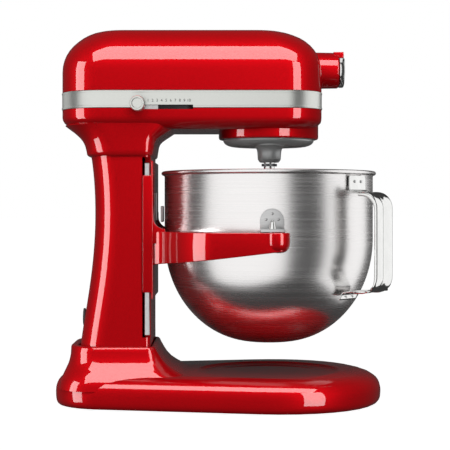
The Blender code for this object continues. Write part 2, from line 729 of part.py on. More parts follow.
def make_ring_gear():
    outline = gear_outline(RING_TEETH, -pi / 2, -THINNING, DEDENDUM, ADDENDUM)
    gear = rod("ring_gear", 51.4, 299.4, GEARCASE_CEILING - GAP, steps=28)
    cut(gear, prism("ring_teeth", outline, 290, 320))
    finish(gear, ROOT, "gear_steel")


def make_beater_shaft():
    at = (0, -ECCENTRIC, 0)
    shaft = rod("beater_shaft", BEATER_SHAFT_RADIUS, BEATER_SHAFT_BOTTOM, 310.6, at, steps=16)
    cut(shaft, rod("beater_pin_bore", 2.0, -20, 20, (0, -ECCENTRIC, 246), "X", 12))
    cut(shaft, ring("snap_groove", BEATER_SHAFT_RADIUS - 1, 10, 264.4, 267.9, at, steps=16))
    finish(shaft, BEATER_BODY, "polished_steel")
    finish(rod("beater_pin", 1.7, -9.5, 9.5, (0, -ECCENTRIC, 246), "X", 12), BEATER_BODY, "polished_steel")
    collar = ring("shaft_collar", BEATER_SHAFT_RADIUS - 0.5, 8.5, 264.8, 267.5, at, steps=16)
    finish(collar, BEATER_BODY, "dark_plastic")
    pinion = prism("agitator_pinion", gear_outline(AGITATOR_TEETH, -pi / 2), 299.4, 309.0, at)
    cut(pinion, rod("pinion_bore", BEATER_SHAFT_RADIUS + GAP, 290, 320, at))
    finish(pinion, BEATER_BODY, "gear_steel")


def make_layshaft():
    at = (LAYSHAFT_X, LAYSHAFT_Y, 0)
    way = atan2(LAYSHAFT_Y, LAYSHAFT_X)
    layshaft = prism("layshaft", gear_outline(LAYSHAFT_TEETH, way + pi + pi / LAYSHAFT_TEETH), *SPUR_Z, at)
    join(layshaft, rod("layshaft_core", 4.5, GEARCASE_FLOOR + GAP, 384.0, at))
    finish(layshaft, LAYSHAFT_BODY, "gear_steel")
    lean = MODULE / 2 / WORM_RADIUS / (MODULE * WORM_WHEEL_TEETH / 2)
    wheel = twisted_gear("worm_wheel", WORM_WHEEL_TEETH, -pi / 2, 9.0, lean)
    wheel.location = Vector((LAYSHAFT_X, LAYSHAFT_Y, WORM_Z)) * MM
    cut(wheel, rod("worm_wheel_bore", 4.8, 340, 380, at))
    finish(wheel, LAYSHAFT_BODY, "bronze")


def star_outline(points, inner, outer):
    """Swept fan blades: each rises slowly and falls steeply."""
    outline = []
    for i in range(points):
        start = 2 * pi * i / points
        for share, radius in ((0.0, inner), (0.42, outer), (0.62, outer), (0.70, inner)):
            outline.append(polar(radius, start + 2 * pi / points * share))
    return outline


def make_motor():
    at = (0, 0, WORM_Z)
    core = WORM_RADIUS - DEDENDUM * MODULE
    profile = [(0, -26), (core - 1, -26), (core, -27), (core, -66), (4, -67), (4, -212), (0, -212)]
    shaft = turned("armature_shaft", profile, at, "X", 20)
    join(shaft, worm_thread("worm_thread", -60.0, -31.0, LAYSHAFT_X, WORM_Z))
    finish(shaft, MOTOR_BODY, "steel")
    finish(ring("armature_core", 4.3, ARMATURE_RADIUS, -165, -105, at, "X", 20), MOTOR_BODY, "copper")
    finish(ring("commutator", 4.3, 12.0, -190, -172, at, "X", 16), MOTOR_BODY, "copper")
    fan = prism("motor_fan", star_outline(9, 12.0, 33.0), -99, -91, at, (0, pi / 2, 0))
    cut(fan, rod("fan_bore", 4.3, -110, -80, at, "X"))
    finish(fan, MOTOR_BODY, "dark_plastic")
    stator = ring("motor_stator", ARMATURE_RADIUS + 1.2, MOTOR_RADIUS, -168, -102, at, "X", 24)
    finish(stator, ROOT, "gear_steel")
    for side, name in ((-1, "left"), (1, "right")):
        edges = sorted((side * 12.5, side * 27.0))
        brush = block(f"motor_brush_{name}", (-186, edges[0], WORM_Z - 4), (-176, edges[1], WORM_Z + 4), 0.6)
        finish(brush, ROOT, "dark_plastic")
    finish(ring("motor_bearing_front", 4.35, 9.4, -79, -73, at, "X", 14), ROOT, "bronze")
    finish(ring("motor_bearing_rear", 4.35, 9.4, -208, -201, at, "X", 14), ROOT, "bronze")
    rear = block("motor_rear_bracket", (-208, -26, 309.6), (-201, 26, 384), 2.0)
    cut(rear, rod("rear_bearing_bore", 9.9, -220, -190, at, "X", 14))
    finish(rear, ROOT, "cast_alloy")


def make_gearbox_bracket():
    wall = block("gearbox_bracket", (-79, -46, 308.2), (-73, 47, 396.5), 1.5)
    join(wall, block("gearbox_roof", (-77.5, -16, 389.6), (17, 44, 394.4), 1.2))
    for i, (x, y, radius) in enumerate(((0, 0, 11.0), (LAYSHAFT_X, LAYSHAFT_Y, 9.0))):
        join(wall, rod(f"roof_boss_{i}", radius, 376.0, 392.0, (x, y, 0)))
    cut(wall, rod("roof_bore_0", 6.3, 360, 385, (0, 0, 0), steps=20))
    cut(wall, rod("roof_bore_1", 4.8, 360, 385, (LAYSHAFT_X, LAYSHAFT_Y, 0)))
    cut(wall, rod("front_bearing_bore", 9.9, -90, -60, (0, 0, WORM_Z), "X", 14))
    finish(wall, ROOT, "cast_alloy")


def make_speed_control():
    lever = block("speed_lever", (KNOB_X - 8, -61.8, 319), (KNOB_X + 22, -59.8, 338), 0.5)
    join(lever, block("lever_stem", (KNOB_X - 3.2, -68.4, 327.3), (KNOB_X + 3.2, -60.5, 329.6)))
    finish(lever, SPEED_BODY, "steel")
    knob = [(0, 9), (KNOB_RADIUS - 2, 9), (KNOB_RADIUS, 7.4), (KNOB_RADIUS, 0), (0, 0)]
    piece = turned("speed_knob", knob, (KNOB_X, -68.8, KNOB_Z), "Y", 16)
    piece.rotation_euler = (pi / 2, 0, 0)
    finish(piece, SPEED_BODY, "satin_metal")
    finish(block("control_board", (-166, -57.5, 312), (-82, -55.9, 345), 0.4), ROOT, "board_green")


# Bowl and its support


def bowl_curve(offset):
    """Down the outer side, or the inner one where offset is the wall."""
    points = []
    for i in range(8):
        angle = pi / 2 * i / 7
        reach = BOWL_RADIUS - BOWL_FLAT
        radius = BOWL_FLAT + reach * cos(angle)
        drop = (BOWL_CURVE_TOP - BOWL_BOTTOM) * sin(angle)
        normal = Vector(((BOWL_CURVE_TOP - BOWL_BOTTOM) * cos(angle), reach * sin(angle))).normalized()
        points.append((radius - offset * normal.x, BOWL_CURVE_TOP - drop + offset * normal.y))
    return points


def make_bowl():
    neck_z = BOWL_RIM - 2 * BEAD_RADIUS - 0.8
    bead_x = BOWL_RADIUS + 1.2
    bead_z = BOWL_RIM - BEAD_RADIUS
    bead = []
    for turn in (150, 80, 20, -40, -100):
        bead.append((bead_x + BEAD_RADIUS * cos(radians(turn)), bead_z + BEAD_RADIUS * sin(radians(turn))))
    inner = BOWL_RADIUS - BOWL_WALL
    outside = bead + [(BOWL_RADIUS, neck_z)] + bowl_curve(0.0) + [(0, BOWL_BOTTOM)]
    inside = [(0, BOWL_BOTTOM + BOWL_WALL)] + list(reversed(bowl_curve(BOWL_WALL))) + [(inner, neck_z + 1)]
    bowl = turned("bowl", inside + outside, (0, 0, 0), steps=48)
    finish(bowl, BOWL_BODY, "polished_steel")


def strip(name, path, half_width, thickness, angle):
    """A strap along (radius, height) points, in the upright plane at angle."""
    form = bmesh.new()
    rows = []
    for radius, height in path:
        rows.append([form.verts.new((radius * MM, side * half_width * MM, height * MM)) for side in (-1, 1)])
    for first, second in zip(rows, rows[1:]):
        form.faces.new((first[0], first[1], second[1], second[0]))
    made = add_object(name, mesh_of(name, form), turn=(0, 0, angle))
    wall = made.modifiers.new("wall", "SOLIDIFY")
    wall.thickness = thickness * MM
    wall.offset = 0.0
    wall.use_even_offset = True
    return made


def arc(centre, radius, start, end, steps):
    points = []
    for i in range(steps + 1):
        angle = radians(start + (end - start) * i / steps)
        points.append((centre[0] + radius * cos(angle), centre[1] + radius * sin(angle)))
    return points


def make_handle():
    on_bowl = BOWL_RADIUS + HANDLE_THICK / 2 + GAP
    outer = HANDLE_REACH - HANDLE_THICK / 2
    path = [(on_bowl, 253.5), (on_bowl, 241.0)]
    path += arc((on_bowl + 5.5, 241.0), 5.5, 180, 262, 3)
    path += arc((outer - 17, 218.0), 17.0, 82, 0, 5)
    path += arc((outer - 17, 146.0), 17.0, 0, -80, 5)
    path += [(112.5, 129.0), (108.8, 126.6), (105.5, 119.5)]
    handle = strip("bowl_handle", path, HANDLE_HALF_WIDTH, HANDLE_THICK, HANDLE_ANGLE)
    finish(handle, BOWL_BODY, "polished_steel")


def make_bowl_brackets():
    for side, name in ((-1, "left"), (1, "right")):
        outline = [(-12.7, 196.6), (12.7, 196.6)] + arc((0, 204.8), 12.7, 0, 180, 8)
        face = BOWL_RADIUS + 0.9
        outer_face = -face if side < 0 else face + BRACKET_THICK
        plate = prism(f"bowl_bracket_{name}", outline, 0, BRACKET_THICK, (0, outer_face, 0), (pi / 2, 0, 0))
        edges = sorted((side * (face + 1.0), side * 138.0))
        tab = block(f"bracket_tab_{name}", (-12.7, edges[0], ARM_TOP + 0.4), (12.7, edges[1], ARM_TOP + 4.0))
        join(plate, tab)
        cut(plate, rod(f"bracket_hole_{name}", 5.2, 180, 220, (0, side * PIN_Y, 0)))
        finish(plate, BOWL_BODY, "satin_metal")
        pin = [(0, 206), (1.6, 206), (2.6, 205), (4.4, ARM_TOP + GAP), (PIN_RADIUS, ARM_TOP)]
        pin += [(PIN_RADIUS, ARM_TOP - 9), (0, ARM_TOP - 9)]
        finish(turned(f"locating_pin_{name}", pin, (0, side * PIN_Y, 0), steps=12), CARRIAGE, "steel")
    rear = block("bowl_rear_bracket", (-121.0, -11, 203), (-118.2, 11, 221), 0.8)
    finish(rear, BOWL_BODY, "satin_metal")
    spring = block("bowl_latch_spring", (SUPPORT_FRONT + GAP, -9, 205), (-125.3, 9, 236), 0.4)
    finish(spring, CARRIAGE, "steel")


def make_support():
    half = SUPPORT_HALF_WIDTH
    rear = COLUMN_FRONT + 0.75
    plate = block("bowl_support", (rear, -half, SUPPORT_BOTTOM), (SUPPORT_FRONT, half, SUPPORT_TOP), 0.8)
    gusset = [(-128.6, 214), (-126.8, 214)] + arc((-114.2, 208.5), 12.6, 180, 270, 5)
    gusset += [(-112, 180), (-128.6, 180)]
    for side in (-1, 1):
        edges = sorted((side * 55.5, side * half))
        low = (-138.2, edges[0], FLANGE_BOTTOM)
        flange = block(f"support_flange_{side}", low, (-127.6, edges[1], 254), 0.8)
        edges = sorted((side * 44.0, side * (half - 0.4)))
        width = edges[1] - edges[0]
        upright = prism(f"support_gusset_{side}", gusset, 0, width, (0, edges[1], 0), (pi / 2, 0, 0))
        join(plate, flange, upright)
    yoke = [(-128.6, -57), (-120, -60.5), (-110, -72), (-101, -93), (-92, -110), (-80, -123), (-62, -132)]
    yoke += [(-40, -137.5), (-10, -ARM_OUTER), (ARM_END - 8, -ARM_OUTER)]
    yoke += arc((ARM_END - 8, -ARM_INNER - 8), 8, -90, 90, 6) + [(-2, -ARM_INNER)]
    yoke += arc((0, 0), YOKE_RADIUS + 1, -94, -180, 16)
    mirrored = [(x, -y) for x, y in reversed(yoke[:-1])]
    fork = prism("yoke", yoke + mirrored, 156.0, ARM_TOP)
    join(plate, fork)
    cut(plate, rod("bowl_room", YOKE_RADIUS, 100, 300, steps=64))
    slope = [(-140, 120), (60, 120), (60, 173.5), (10, 173.5), (-115, 158.5), (-140, 157)]
    under = prism("arm_underside", slope, -160, 160, (0, 0, 0), (pi / 2, 0, 0))
    cut(under, block("plate_keep", (-145, -half - 1, 100), (-119, half + 1, 200)))
    cut(plate, under)
    pin_z = LIFT_AXIS[1] + LIFT_TRAVEL / 2
    lug = block("lift_lug", (-186, -4, pin_z - 11), (-128, 4, pin_z + 11), 0.8)
    slot_rear = LIFT_AXIS[0] - CRANK_RADIUS - 4
    slot_front = LIFT_AXIS[0] - CRANK_RADIUS * cos(radians(45)) + 4.2
    cut(lug, block("lug_slot_room", (slot_rear, -10, pin_z - 4.4), (slot_front, 10, pin_z + 4.4)))
    join(plate, lug)
    for side in (-1, 1):
        at = (0, side * PIN_Y, 0)
        cut(plate, rod(f"pin_socket_{side}", PIN_RADIUS + GAP, ARM_TOP - 9.6, ARM_TOP + 5, at))
    finish(plate, CARRIAGE, "enamel")


def make_lift():
    x, z = LIFT_AXIS
    pin_x = x - CRANK_RADIUS * cos(radians(45))
    pin_z = z + CRANK_RADIUS * sin(radians(45))
    shaft = rod("lift_shaft", 6.0, 7.0, 72.0, (x, 0, z), "Y", 20)
    arm = prism(
        "crank_arm",
        arc((0, 0), 9, -90, 90, 6) + arc((-CRANK_RADIUS, 0), 6.5, 90, 270, 6),
        0, 6, (x, 12, z), (pi / 2, radians(45), 0),
    )
    join(shaft, arm)
    join(shaft, rod("crank_pin", 3.0, -6.0, 8.0, (pin_x, 0, pin_z), "Y", 16))
    finish(shaft, LEVER_BODY, "steel")
    lever = prism(
        "lift_lever",
        arc((0, 0), 11, 180, 360, 8) + arc((0, 74), 6, 0, 180, 6),
        0, 8, (x, 70, z), (pi / 2, 0, 0),
    )
    cut(lever, rod("lever_hole", 6.3, 50, 80, (x, 0, z), "Y", 20))
    finish(lever, LEVER_BODY, "satin_metal")
    grip = [(0, 40), (7.5, 40), (9.5, 38), (9.5, 22), (7.0, 19), (0, 19)]
    piece = turned("lever_grip", [(r, h - 19) for r, h in grip], (x, 70.4, z + 74), "Y", 16)
    finish(piece, LEVER_BODY, "dark_plastic")


def main():
    make_base()
    make_column()
    make_cover()
    make_band()
    make_housing()
    make_hub()
    make_planetary()
    make_ring_gear()
    make_beater_shaft()
    make_layshaft()
    make_motor()
    make_gearbox_bracket()
    make_speed_control()
    make_bowl()
    make_handle()
    make_bowl_brackets()
    make_support()
    make_lift()
    ROOT.location = (SHIFT_X * MM, 0.0, 0.0)


main()
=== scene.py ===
import json
from math import cos, pi, radians, sin

import bpy
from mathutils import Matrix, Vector

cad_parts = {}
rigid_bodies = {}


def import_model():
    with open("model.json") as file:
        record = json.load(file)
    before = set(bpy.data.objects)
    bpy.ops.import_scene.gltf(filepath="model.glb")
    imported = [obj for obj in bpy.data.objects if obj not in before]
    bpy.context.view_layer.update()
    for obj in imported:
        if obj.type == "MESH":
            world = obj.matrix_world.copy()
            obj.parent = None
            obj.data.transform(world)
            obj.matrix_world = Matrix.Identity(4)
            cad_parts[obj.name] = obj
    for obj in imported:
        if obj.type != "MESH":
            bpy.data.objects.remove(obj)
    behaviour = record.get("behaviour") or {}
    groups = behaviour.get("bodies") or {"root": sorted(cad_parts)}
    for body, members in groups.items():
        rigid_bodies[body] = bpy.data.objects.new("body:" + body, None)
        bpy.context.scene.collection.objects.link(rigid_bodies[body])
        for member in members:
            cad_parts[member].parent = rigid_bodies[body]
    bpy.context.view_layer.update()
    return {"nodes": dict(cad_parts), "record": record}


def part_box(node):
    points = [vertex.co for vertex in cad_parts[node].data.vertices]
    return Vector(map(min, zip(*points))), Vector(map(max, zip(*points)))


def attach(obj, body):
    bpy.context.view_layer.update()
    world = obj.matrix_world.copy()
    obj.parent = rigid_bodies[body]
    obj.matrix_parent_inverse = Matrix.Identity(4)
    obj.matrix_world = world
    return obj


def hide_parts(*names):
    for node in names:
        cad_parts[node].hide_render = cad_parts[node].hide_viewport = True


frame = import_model()

MM = 0.001
shaft_low, shaft_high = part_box("vertical_shaft")
AXIS = (shaft_low[0] + shaft_high[0]) / 2

# Sizes and places in millimetres.
# x runs forwards from the bowl's axis, y towards the lift lever and z up from the table.

BASE_REAR = -236.2
BASE_FRONT = 125.5
BASE_WIDEST_Z = 17.0
FOOT_PLACES = ((72, 58), (72, -58), (-198, 44), (-198, -44))
COLUMN_FRONT = -130
COLUMN_HALF = 57
COLUMN_LOW = 44.3
COLUMN_HIGH = 277
COLUMN_CORNER = 34
HEAD_REAR = -230.0
HEAD_FRONT = 58.0
HEAD_HALF = 66.0
HEAD_TOP = 416
HEAD_WALL = 3
CROWN_REAR = 47
CROWN_FRONT = 50
CROWN_SIDE = 42
BAND_LOW = 327
BAND_HIGH = 346
SLOT_REAR = -147
SLOT_FRONT = -83.4
SLOT_TOP = 330.2
KNOB_X = -143
KNOB_Z = 331
HUB_Z = 373.5
BARREL_END = 78.3
GEARCASE_BORE = 52
BEATER_Y = -28
BOWL_RADIUS = 117.0
BOWL_WALL = 1.2
BOWL_FLAT = 16
BOWL_CURVE_TOP = 184
BOWL_BOTTOM = 69.0
BEAD_RADIUS = 2.3
BEAD_Z = 257.3
HANDLE_TURN = radians(-38.5)
HANDLE_HALF = 16.0
BRACKET_HALF = 12.7
PIN_Y = 131
ARM_TOP = 193
YOKE_RADIUS = 122.5
SUPPORT_HALF = 60
LIFT_X = -150
LIFT_Z = 175
GLAND_Z = 96
CORNER_STEPS = 10

# Surfaces


def surface(
    name, colour, roughness, metallic=0.0, stretch=(1, 1, 1), scale=300.0, spread=0.12, bump=0.1, **fixed
):
    """A material with a fine grain in its colour, its roughness and its relief."""
    made = bpy.data.materials.new(name)
    made.use_nodes = True
    nodes, links = made.node_tree.nodes, made.node_tree.links
    shader = nodes["Principled BSDF"]
    place = nodes.new("ShaderNodeTexCoord")
    spacing = nodes.new("ShaderNodeMapping")
    spacing.inputs["Scale"].default_value = stretch
    grain = nodes.new("ShaderNodeTexNoise")
    grain.inputs["Scale"].default_value = scale
    grain.inputs["Detail"].default_value = 4.0
    links.new(place.outputs["Object"], spacing.inputs["Vector"])
    links.new(spacing.outputs["Vector"], grain.inputs["Vector"])
    tone = nodes.new("ShaderNodeValToRGB")
    tone.color_ramp.elements[0].position = 0.3
    tone.color_ramp.elements[1].position = 0.7
    tone.color_ramp.elements[0].color = (*[c * (1 - spread) for c in colour], 1)
    tone.color_ramp.elements[1].color = (*[min(1, c * (1 + spread)) for c in colour], 1)
    links.new(grain.outputs["Fac"], tone.inputs["Fac"])
    links.new(tone.outputs["Color"], shader.inputs["Base Color"])
    rough = nodes.new("ShaderNodeMapRange")
    rough.inputs["To Min"].default_value = roughness[0]
    rough.inputs["To Max"].default_value = roughness[1]
    links.new(grain.outputs["Fac"], rough.inputs["Value"])
    links.new(rough.outputs["Result"], shader.inputs["Roughness"])
    relief = nodes.new("ShaderNodeBump")
    relief.inputs["Strength"].default_value = bump
    relief.inputs["Distance"].default_value = 0.0001
    links.new(grain.outputs["Fac"], relief.inputs["Height"])
    links.new(relief.outputs["Normal"], shader.inputs["Normal"])
    shader.inputs["Metallic"].default_value = metallic
    for socket, value in fixed.items():
        shader.inputs[socket.replace("_", " ")].default_value = value
    return made


def brushed_round(name, colour, roughness, spread, anisotropic):
    """Steel brushed round and round an upright axis."""
    made = surface(name, colour, roughness, 1.0, (3, 3, 620), 1.0, spread, 0.06, Anisotropic=anisotropic)
    nodes, links = made.node_tree.nodes, made.node_tree.links
    round_axis = nodes.new("ShaderNodeTangent")
    round_axis.direction_type = "RADIAL"
    round_axis.axis = "Z"
    links.new(round_axis.outputs["Tangent"], nodes["Principled BSDF"].inputs["Tangent"])
    return made


FINISHES = {
    "red_enamel": surface(
        "red_enamel", (0.26, 0.0008, 0.0024), (0.44, 0.52), 0.5, scale=2600.0, spread=0.16, bump=0.02,
        Coat_Weight=1.0, Coat_Roughness=0.02, Coat_IOR=1.45, Specular_IOR_Level=0.0,
    ),
    "satin_trim": surface(
        "satin_trim", (0.62, 0.63, 0.60), (0.32, 0.40), 0.9, (1, 1, 8), 500.0, spread=0.05, bump=0.04
    ),
    "grey_enamel": surface("grey_enamel", (0.36, 0.37, 0.37), (0.30, 0.38), 0.45, scale=1800.0, bump=0.04),
    "brushed_bowl_steel": brushed_round(
        "brushed_bowl_steel", (0.76, 0.745, 0.74), (0.20, 0.32), spread=0.03, anisotropic=0.5
    ),
    "bracket_steel": surface(
        "bracket_steel", (0.50, 0.50, 0.50), (0.30, 0.40), 1.0, (1, 1, 30), 60.0, spread=0.08
    ),
    "polished_steel": surface(
        "polished_steel", (0.72, 0.72, 0.71), (0.10, 0.16), 1.0, scale=90.0, spread=0.04, bump=0.02
    ),
    "plain_steel": surface("plain_steel", (0.48, 0.48, 0.48), (0.28, 0.38), 1.0, scale=700.0, bump=0.06),
    "gear_steel": surface("gear_steel", (0.30, 0.30, 0.31), (0.30, 0.48), 1.0, scale=500.0, spread=0.2),
    "bronze": surface("bronze", (0.55, 0.36, 0.17), (0.30, 0.42), 1.0, scale=600.0, spread=0.15),
    "motor_copper": surface(
        "motor_copper", (0.60, 0.26, 0.12), (0.28, 0.42), 1.0, (1, 40, 40), 30.0, spread=0.25, bump=0.5
    ),
    "motor_iron": surface(
        "motor_iron", (0.16, 0.16, 0.17), (0.40, 0.55), 0.9, (700, 1, 1), 1.0, spread=0.25, bump=0.6
    ),
    "cast_alloy": surface(
        "cast_alloy", (0.50, 0.51, 0.52), (0.45, 0.60), 0.95, scale=900.0, spread=0.1, bump=0.4
    ),
    "black_rubber": surface(
        "black_rubber", (0.018, 0.018, 0.018), (0.65, 0.85), scale=1200.0, spread=0.2, bump=0.3
    ),
    "dark_plastic": surface(
        "dark_plastic", (0.022, 0.022, 0.024), (0.34, 0.46), scale=1500.0, spread=0.2, bump=0.15
    ),
    "board_green": surface(
        "board_green", (0.02, 0.13, 0.05), (0.35, 0.5), scale=250.0, spread=0.35, bump=0.2
    ),
}
DARK_MARKS = surface("dark_marks", (0.01, 0.01, 0.01), (0.5, 0.6), scale=900.0)

for part in frame["record"]["subparts"]:
    frame["nodes"][part["node"]].material_slots[0].material = FINISHES[part["material_slot"]]

# Shaping


def editing():
    bpy.ops.object.mode_set(mode="EDIT")
    bpy.ops.mesh.select_mode(type="VERT")


def done():
    bpy.ops.object.mode_set(mode="OBJECT")


def pick(keep):
    """Selects the points of the piece in hand for which keep(point) holds."""
    editing()
    bpy.ops.mesh.select_all(action="DESELECT")
    done()
    for vertex in bpy.context.object.data.vertices:
        vertex.select = keep(vertex.co)
    editing()


def single_point():
    """Starts a new piece as one point at the origin, in edit mode."""
    bpy.ops.object.select_all(action="DESELECT")
    bpy.ops.mesh.primitive_plane_add(size=0.001)
    editing()
    bpy.ops.mesh.select_all(action="SELECT")
    bpy.ops.mesh.merge(type="CENTER")


def face_outwards():
    """Turns the faces of the mesh being edited outwards, and leaves edit mode."""
    bpy.ops.mesh.select_all(action="SELECT")
    bpy.ops.mesh.normals_make_consistent(inside=False)
    done()


def outline(points, height):
    """A level face through (x, y, corner radius) points."""
    single_point()
    spots = [Vector((AXIS + x * MM, y * MM, height * MM)) for x, y, radius in points]
    bpy.ops.transform.translate(value=spots[0])
    for before, after in zip(spots, spots[1:]):
        bpy.ops.mesh.extrude_vertices_move(TRANSFORM_OT_translate={"value": after - before})
    bpy.ops.mesh.select_all(action="SELECT")
    bpy.ops.mesh.edge_face_add()
    for spot, (x, y, radius) in zip(spots, points):
        if radius:
            pick(lambda at: (at - spot).length < 0.00002)
            bpy.ops.mesh.bevel(
                offset=radius * MM,
                offset_type="OFFSET",
                affect="VERTICES",
                segments=CORNER_STEPS,
                profile=0.5,
            )
    bpy.ops.mesh.select_all(action="SELECT")
    bpy.ops.mesh.remove_doubles(threshold=0.0004)
    done()
    return bpy.context.object


def level_ring(rear, front, half, rear_radius, front_radius, height):
    """A rounded rectangle of edges."""
    rear_radius = min(rear_radius, half - 0.6)
    front_radius = min(front_radius, half - 0.6)
    corners = [(rear, -half, rear_radius), (front, -half, front_radius)]
    corners += [(front, half, front_radius), (rear, half, rear_radius)]
    ring = outline(corners, height)
    editing()
    bpy.ops.mesh.select_all(action="SELECT")
    bpy.ops.mesh.delete(type="ONLY_FACE")
    done()
    return ring


def together(pieces, name):
    """Joins pieces into the first one."""
    bpy.ops.object.select_all(action="DESELECT")
    for piece in pieces:
        piece.select_set(True)
    bpy.context.view_layer.objects.active = pieces[0]
    if len(pieces) > 1:
        bpy.ops.object.join()
    pieces[0].name = name
    return pieces[0]


def skin(name, rings):
    """A skin over level rings, from each one to the next."""
    piece = level_ring(*rings[0])
    for ring in rings[1:]:
        count = len(piece.data.vertices)
        together([piece, level_ring(*ring)], name)
        editing()
        bpy.ops.mesh.select_all(action="DESELECT")
        done()
        step = len(piece.data.vertices) - count
        for vertex in piece.data.vertices[count - step:]:
            vertex.select = True
        editing()
        bpy.ops.mesh.bridge_edge_loops(type="SINGLE")
        done()
    editing()
    face_outwards()
    return piece


def turned(name, profile, at=(0, 0, 0), axis="Z", sides=96, closed=False):
    """A circle drawn from one (radius, height) to the next. A closed one ends where it began."""
    bpy.ops.object.select_all(action="DESELECT")
    radius, height = profile[0]
    bpy.ops.mesh.primitive_circle_add(
        vertices=sides,
        radius=radius * MM,
        fill_type="NOTHING" if closed else "NGON",
        location=(0, 0, height * MM),
    )
    bpy.ops.object.transform_apply(location=True, rotation=False, scale=False)
    piece = bpy.context.object
    editing()
    bpy.ops.mesh.select_all(action="SELECT")
    steps = profile + profile[:1] if closed else profile
    for (r0, h0), (r1, h1) in zip(steps, steps[1:]):
        bpy.ops.mesh.extrude_region_move(TRANSFORM_OT_translate={"value": (0, 0, (h1 - h0) * MM)})
        bpy.ops.transform.resize(value=(r1 / r0, r1 / r0, 1), center_override=(0, 0, h1 * MM))
    bpy.ops.mesh.select_all(action="SELECT")
    if closed:
        bpy.ops.mesh.remove_doubles(threshold=0.00001)
    face_outwards()
    piece.name = name
    piece.rotation_euler = {"Z": (0, 0, 0), "X": (0, pi / 2, 0), "Y": (-pi / 2, 0, 0)}[axis]
    piece.location = (AXIS + at[0] * MM, at[1] * MM, at[2] * MM)
    bpy.ops.object.transform_apply(location=True, rotation=True, scale=True)
    return piece


def block(name, low, high, rounding=0.0):
    """A box between two corners with rounded edges."""
    bpy.ops.object.select_all(action="DESELECT")
    bpy.ops.mesh.primitive_cube_add(size=1)
    piece = bpy.context.object
    editing()
    bpy.ops.mesh.select_all(action="SELECT")
    size = [(b - a) * MM for a, b in zip(low, high)]
    bpy.ops.transform.resize(value=size, center_override=(0, 0, 0))
    middle = [(a + b) / 2 * MM for a, b in zip(low, high)]
    bpy.ops.transform.translate(value=(AXIS + middle[0], middle[1], middle[2]))
    if rounding:
        bpy.ops.mesh.bevel(offset=rounding * MM, segments=3, profile=0.5)
    done()
    piece.name = name
    return piece


def mirrored_block(name, x, y, z, side, rounding=0.0):
    """A block whose y range is given for the right side, on either side."""
    low, high = sorted((side * y[0], side * y[1]))
    return block(name, (x[0], low, z[0]), (x[1], high, z[1]), rounding)


def only(piece):
    """Leaves a piece as the one that is selected and in hand."""
    bpy.ops.object.select_all(action="DESELECT")
    piece.select_set(True)
    bpy.context.view_layer.objects.active = piece


def change(piece, kind, **settings):
    """Adds a modifier to a piece and applies it."""
    only(piece)
    step = piece.modifiers.new(kind.lower(), kind)
    for setting, value in settings.items():
        setattr(step, setting, value)
    bpy.ops.object.modifier_apply(modifier=step.name)
    return piece


def carve(piece, *tools, how="DIFFERENCE"):
    """Cuts tools away from a piece, or joins them to it, and takes the tools away."""
    for tool in tools:
        change(piece, "BOOLEAN", operation=how, object=tool, solver="EXACT", use_self=True)
        bpy.data.objects.remove(tool)


def round_edges(piece, width):
    change(piece, "BEVEL", width=width * MM, segments=3, limit_method="ANGLE", angle_limit=radians(50))


def thicken(piece, thickness):
    """Gives a skin a wall on its inner side."""
    change(piece, "SOLIDIFY", thickness=thickness * MM, offset=-1)


def close_end(keep):
    """Fills the ring of edges for which keep(point) holds."""
    pick(keep)
    bpy.ops.mesh.edge_face_add()
    face_outwards()


def complete(piece, finish, body, *stands_for, angle=35):
    """Shades a piece, gives it its finish, and hangs it on its body in place of its CAD nodes."""
    only(piece)
    bpy.ops.object.shade_smooth_by_angle(angle=radians(angle))
    piece.data.materials.append(FINISHES[finish])
    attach(piece, body)
    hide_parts(*stands_for)


# Base and column


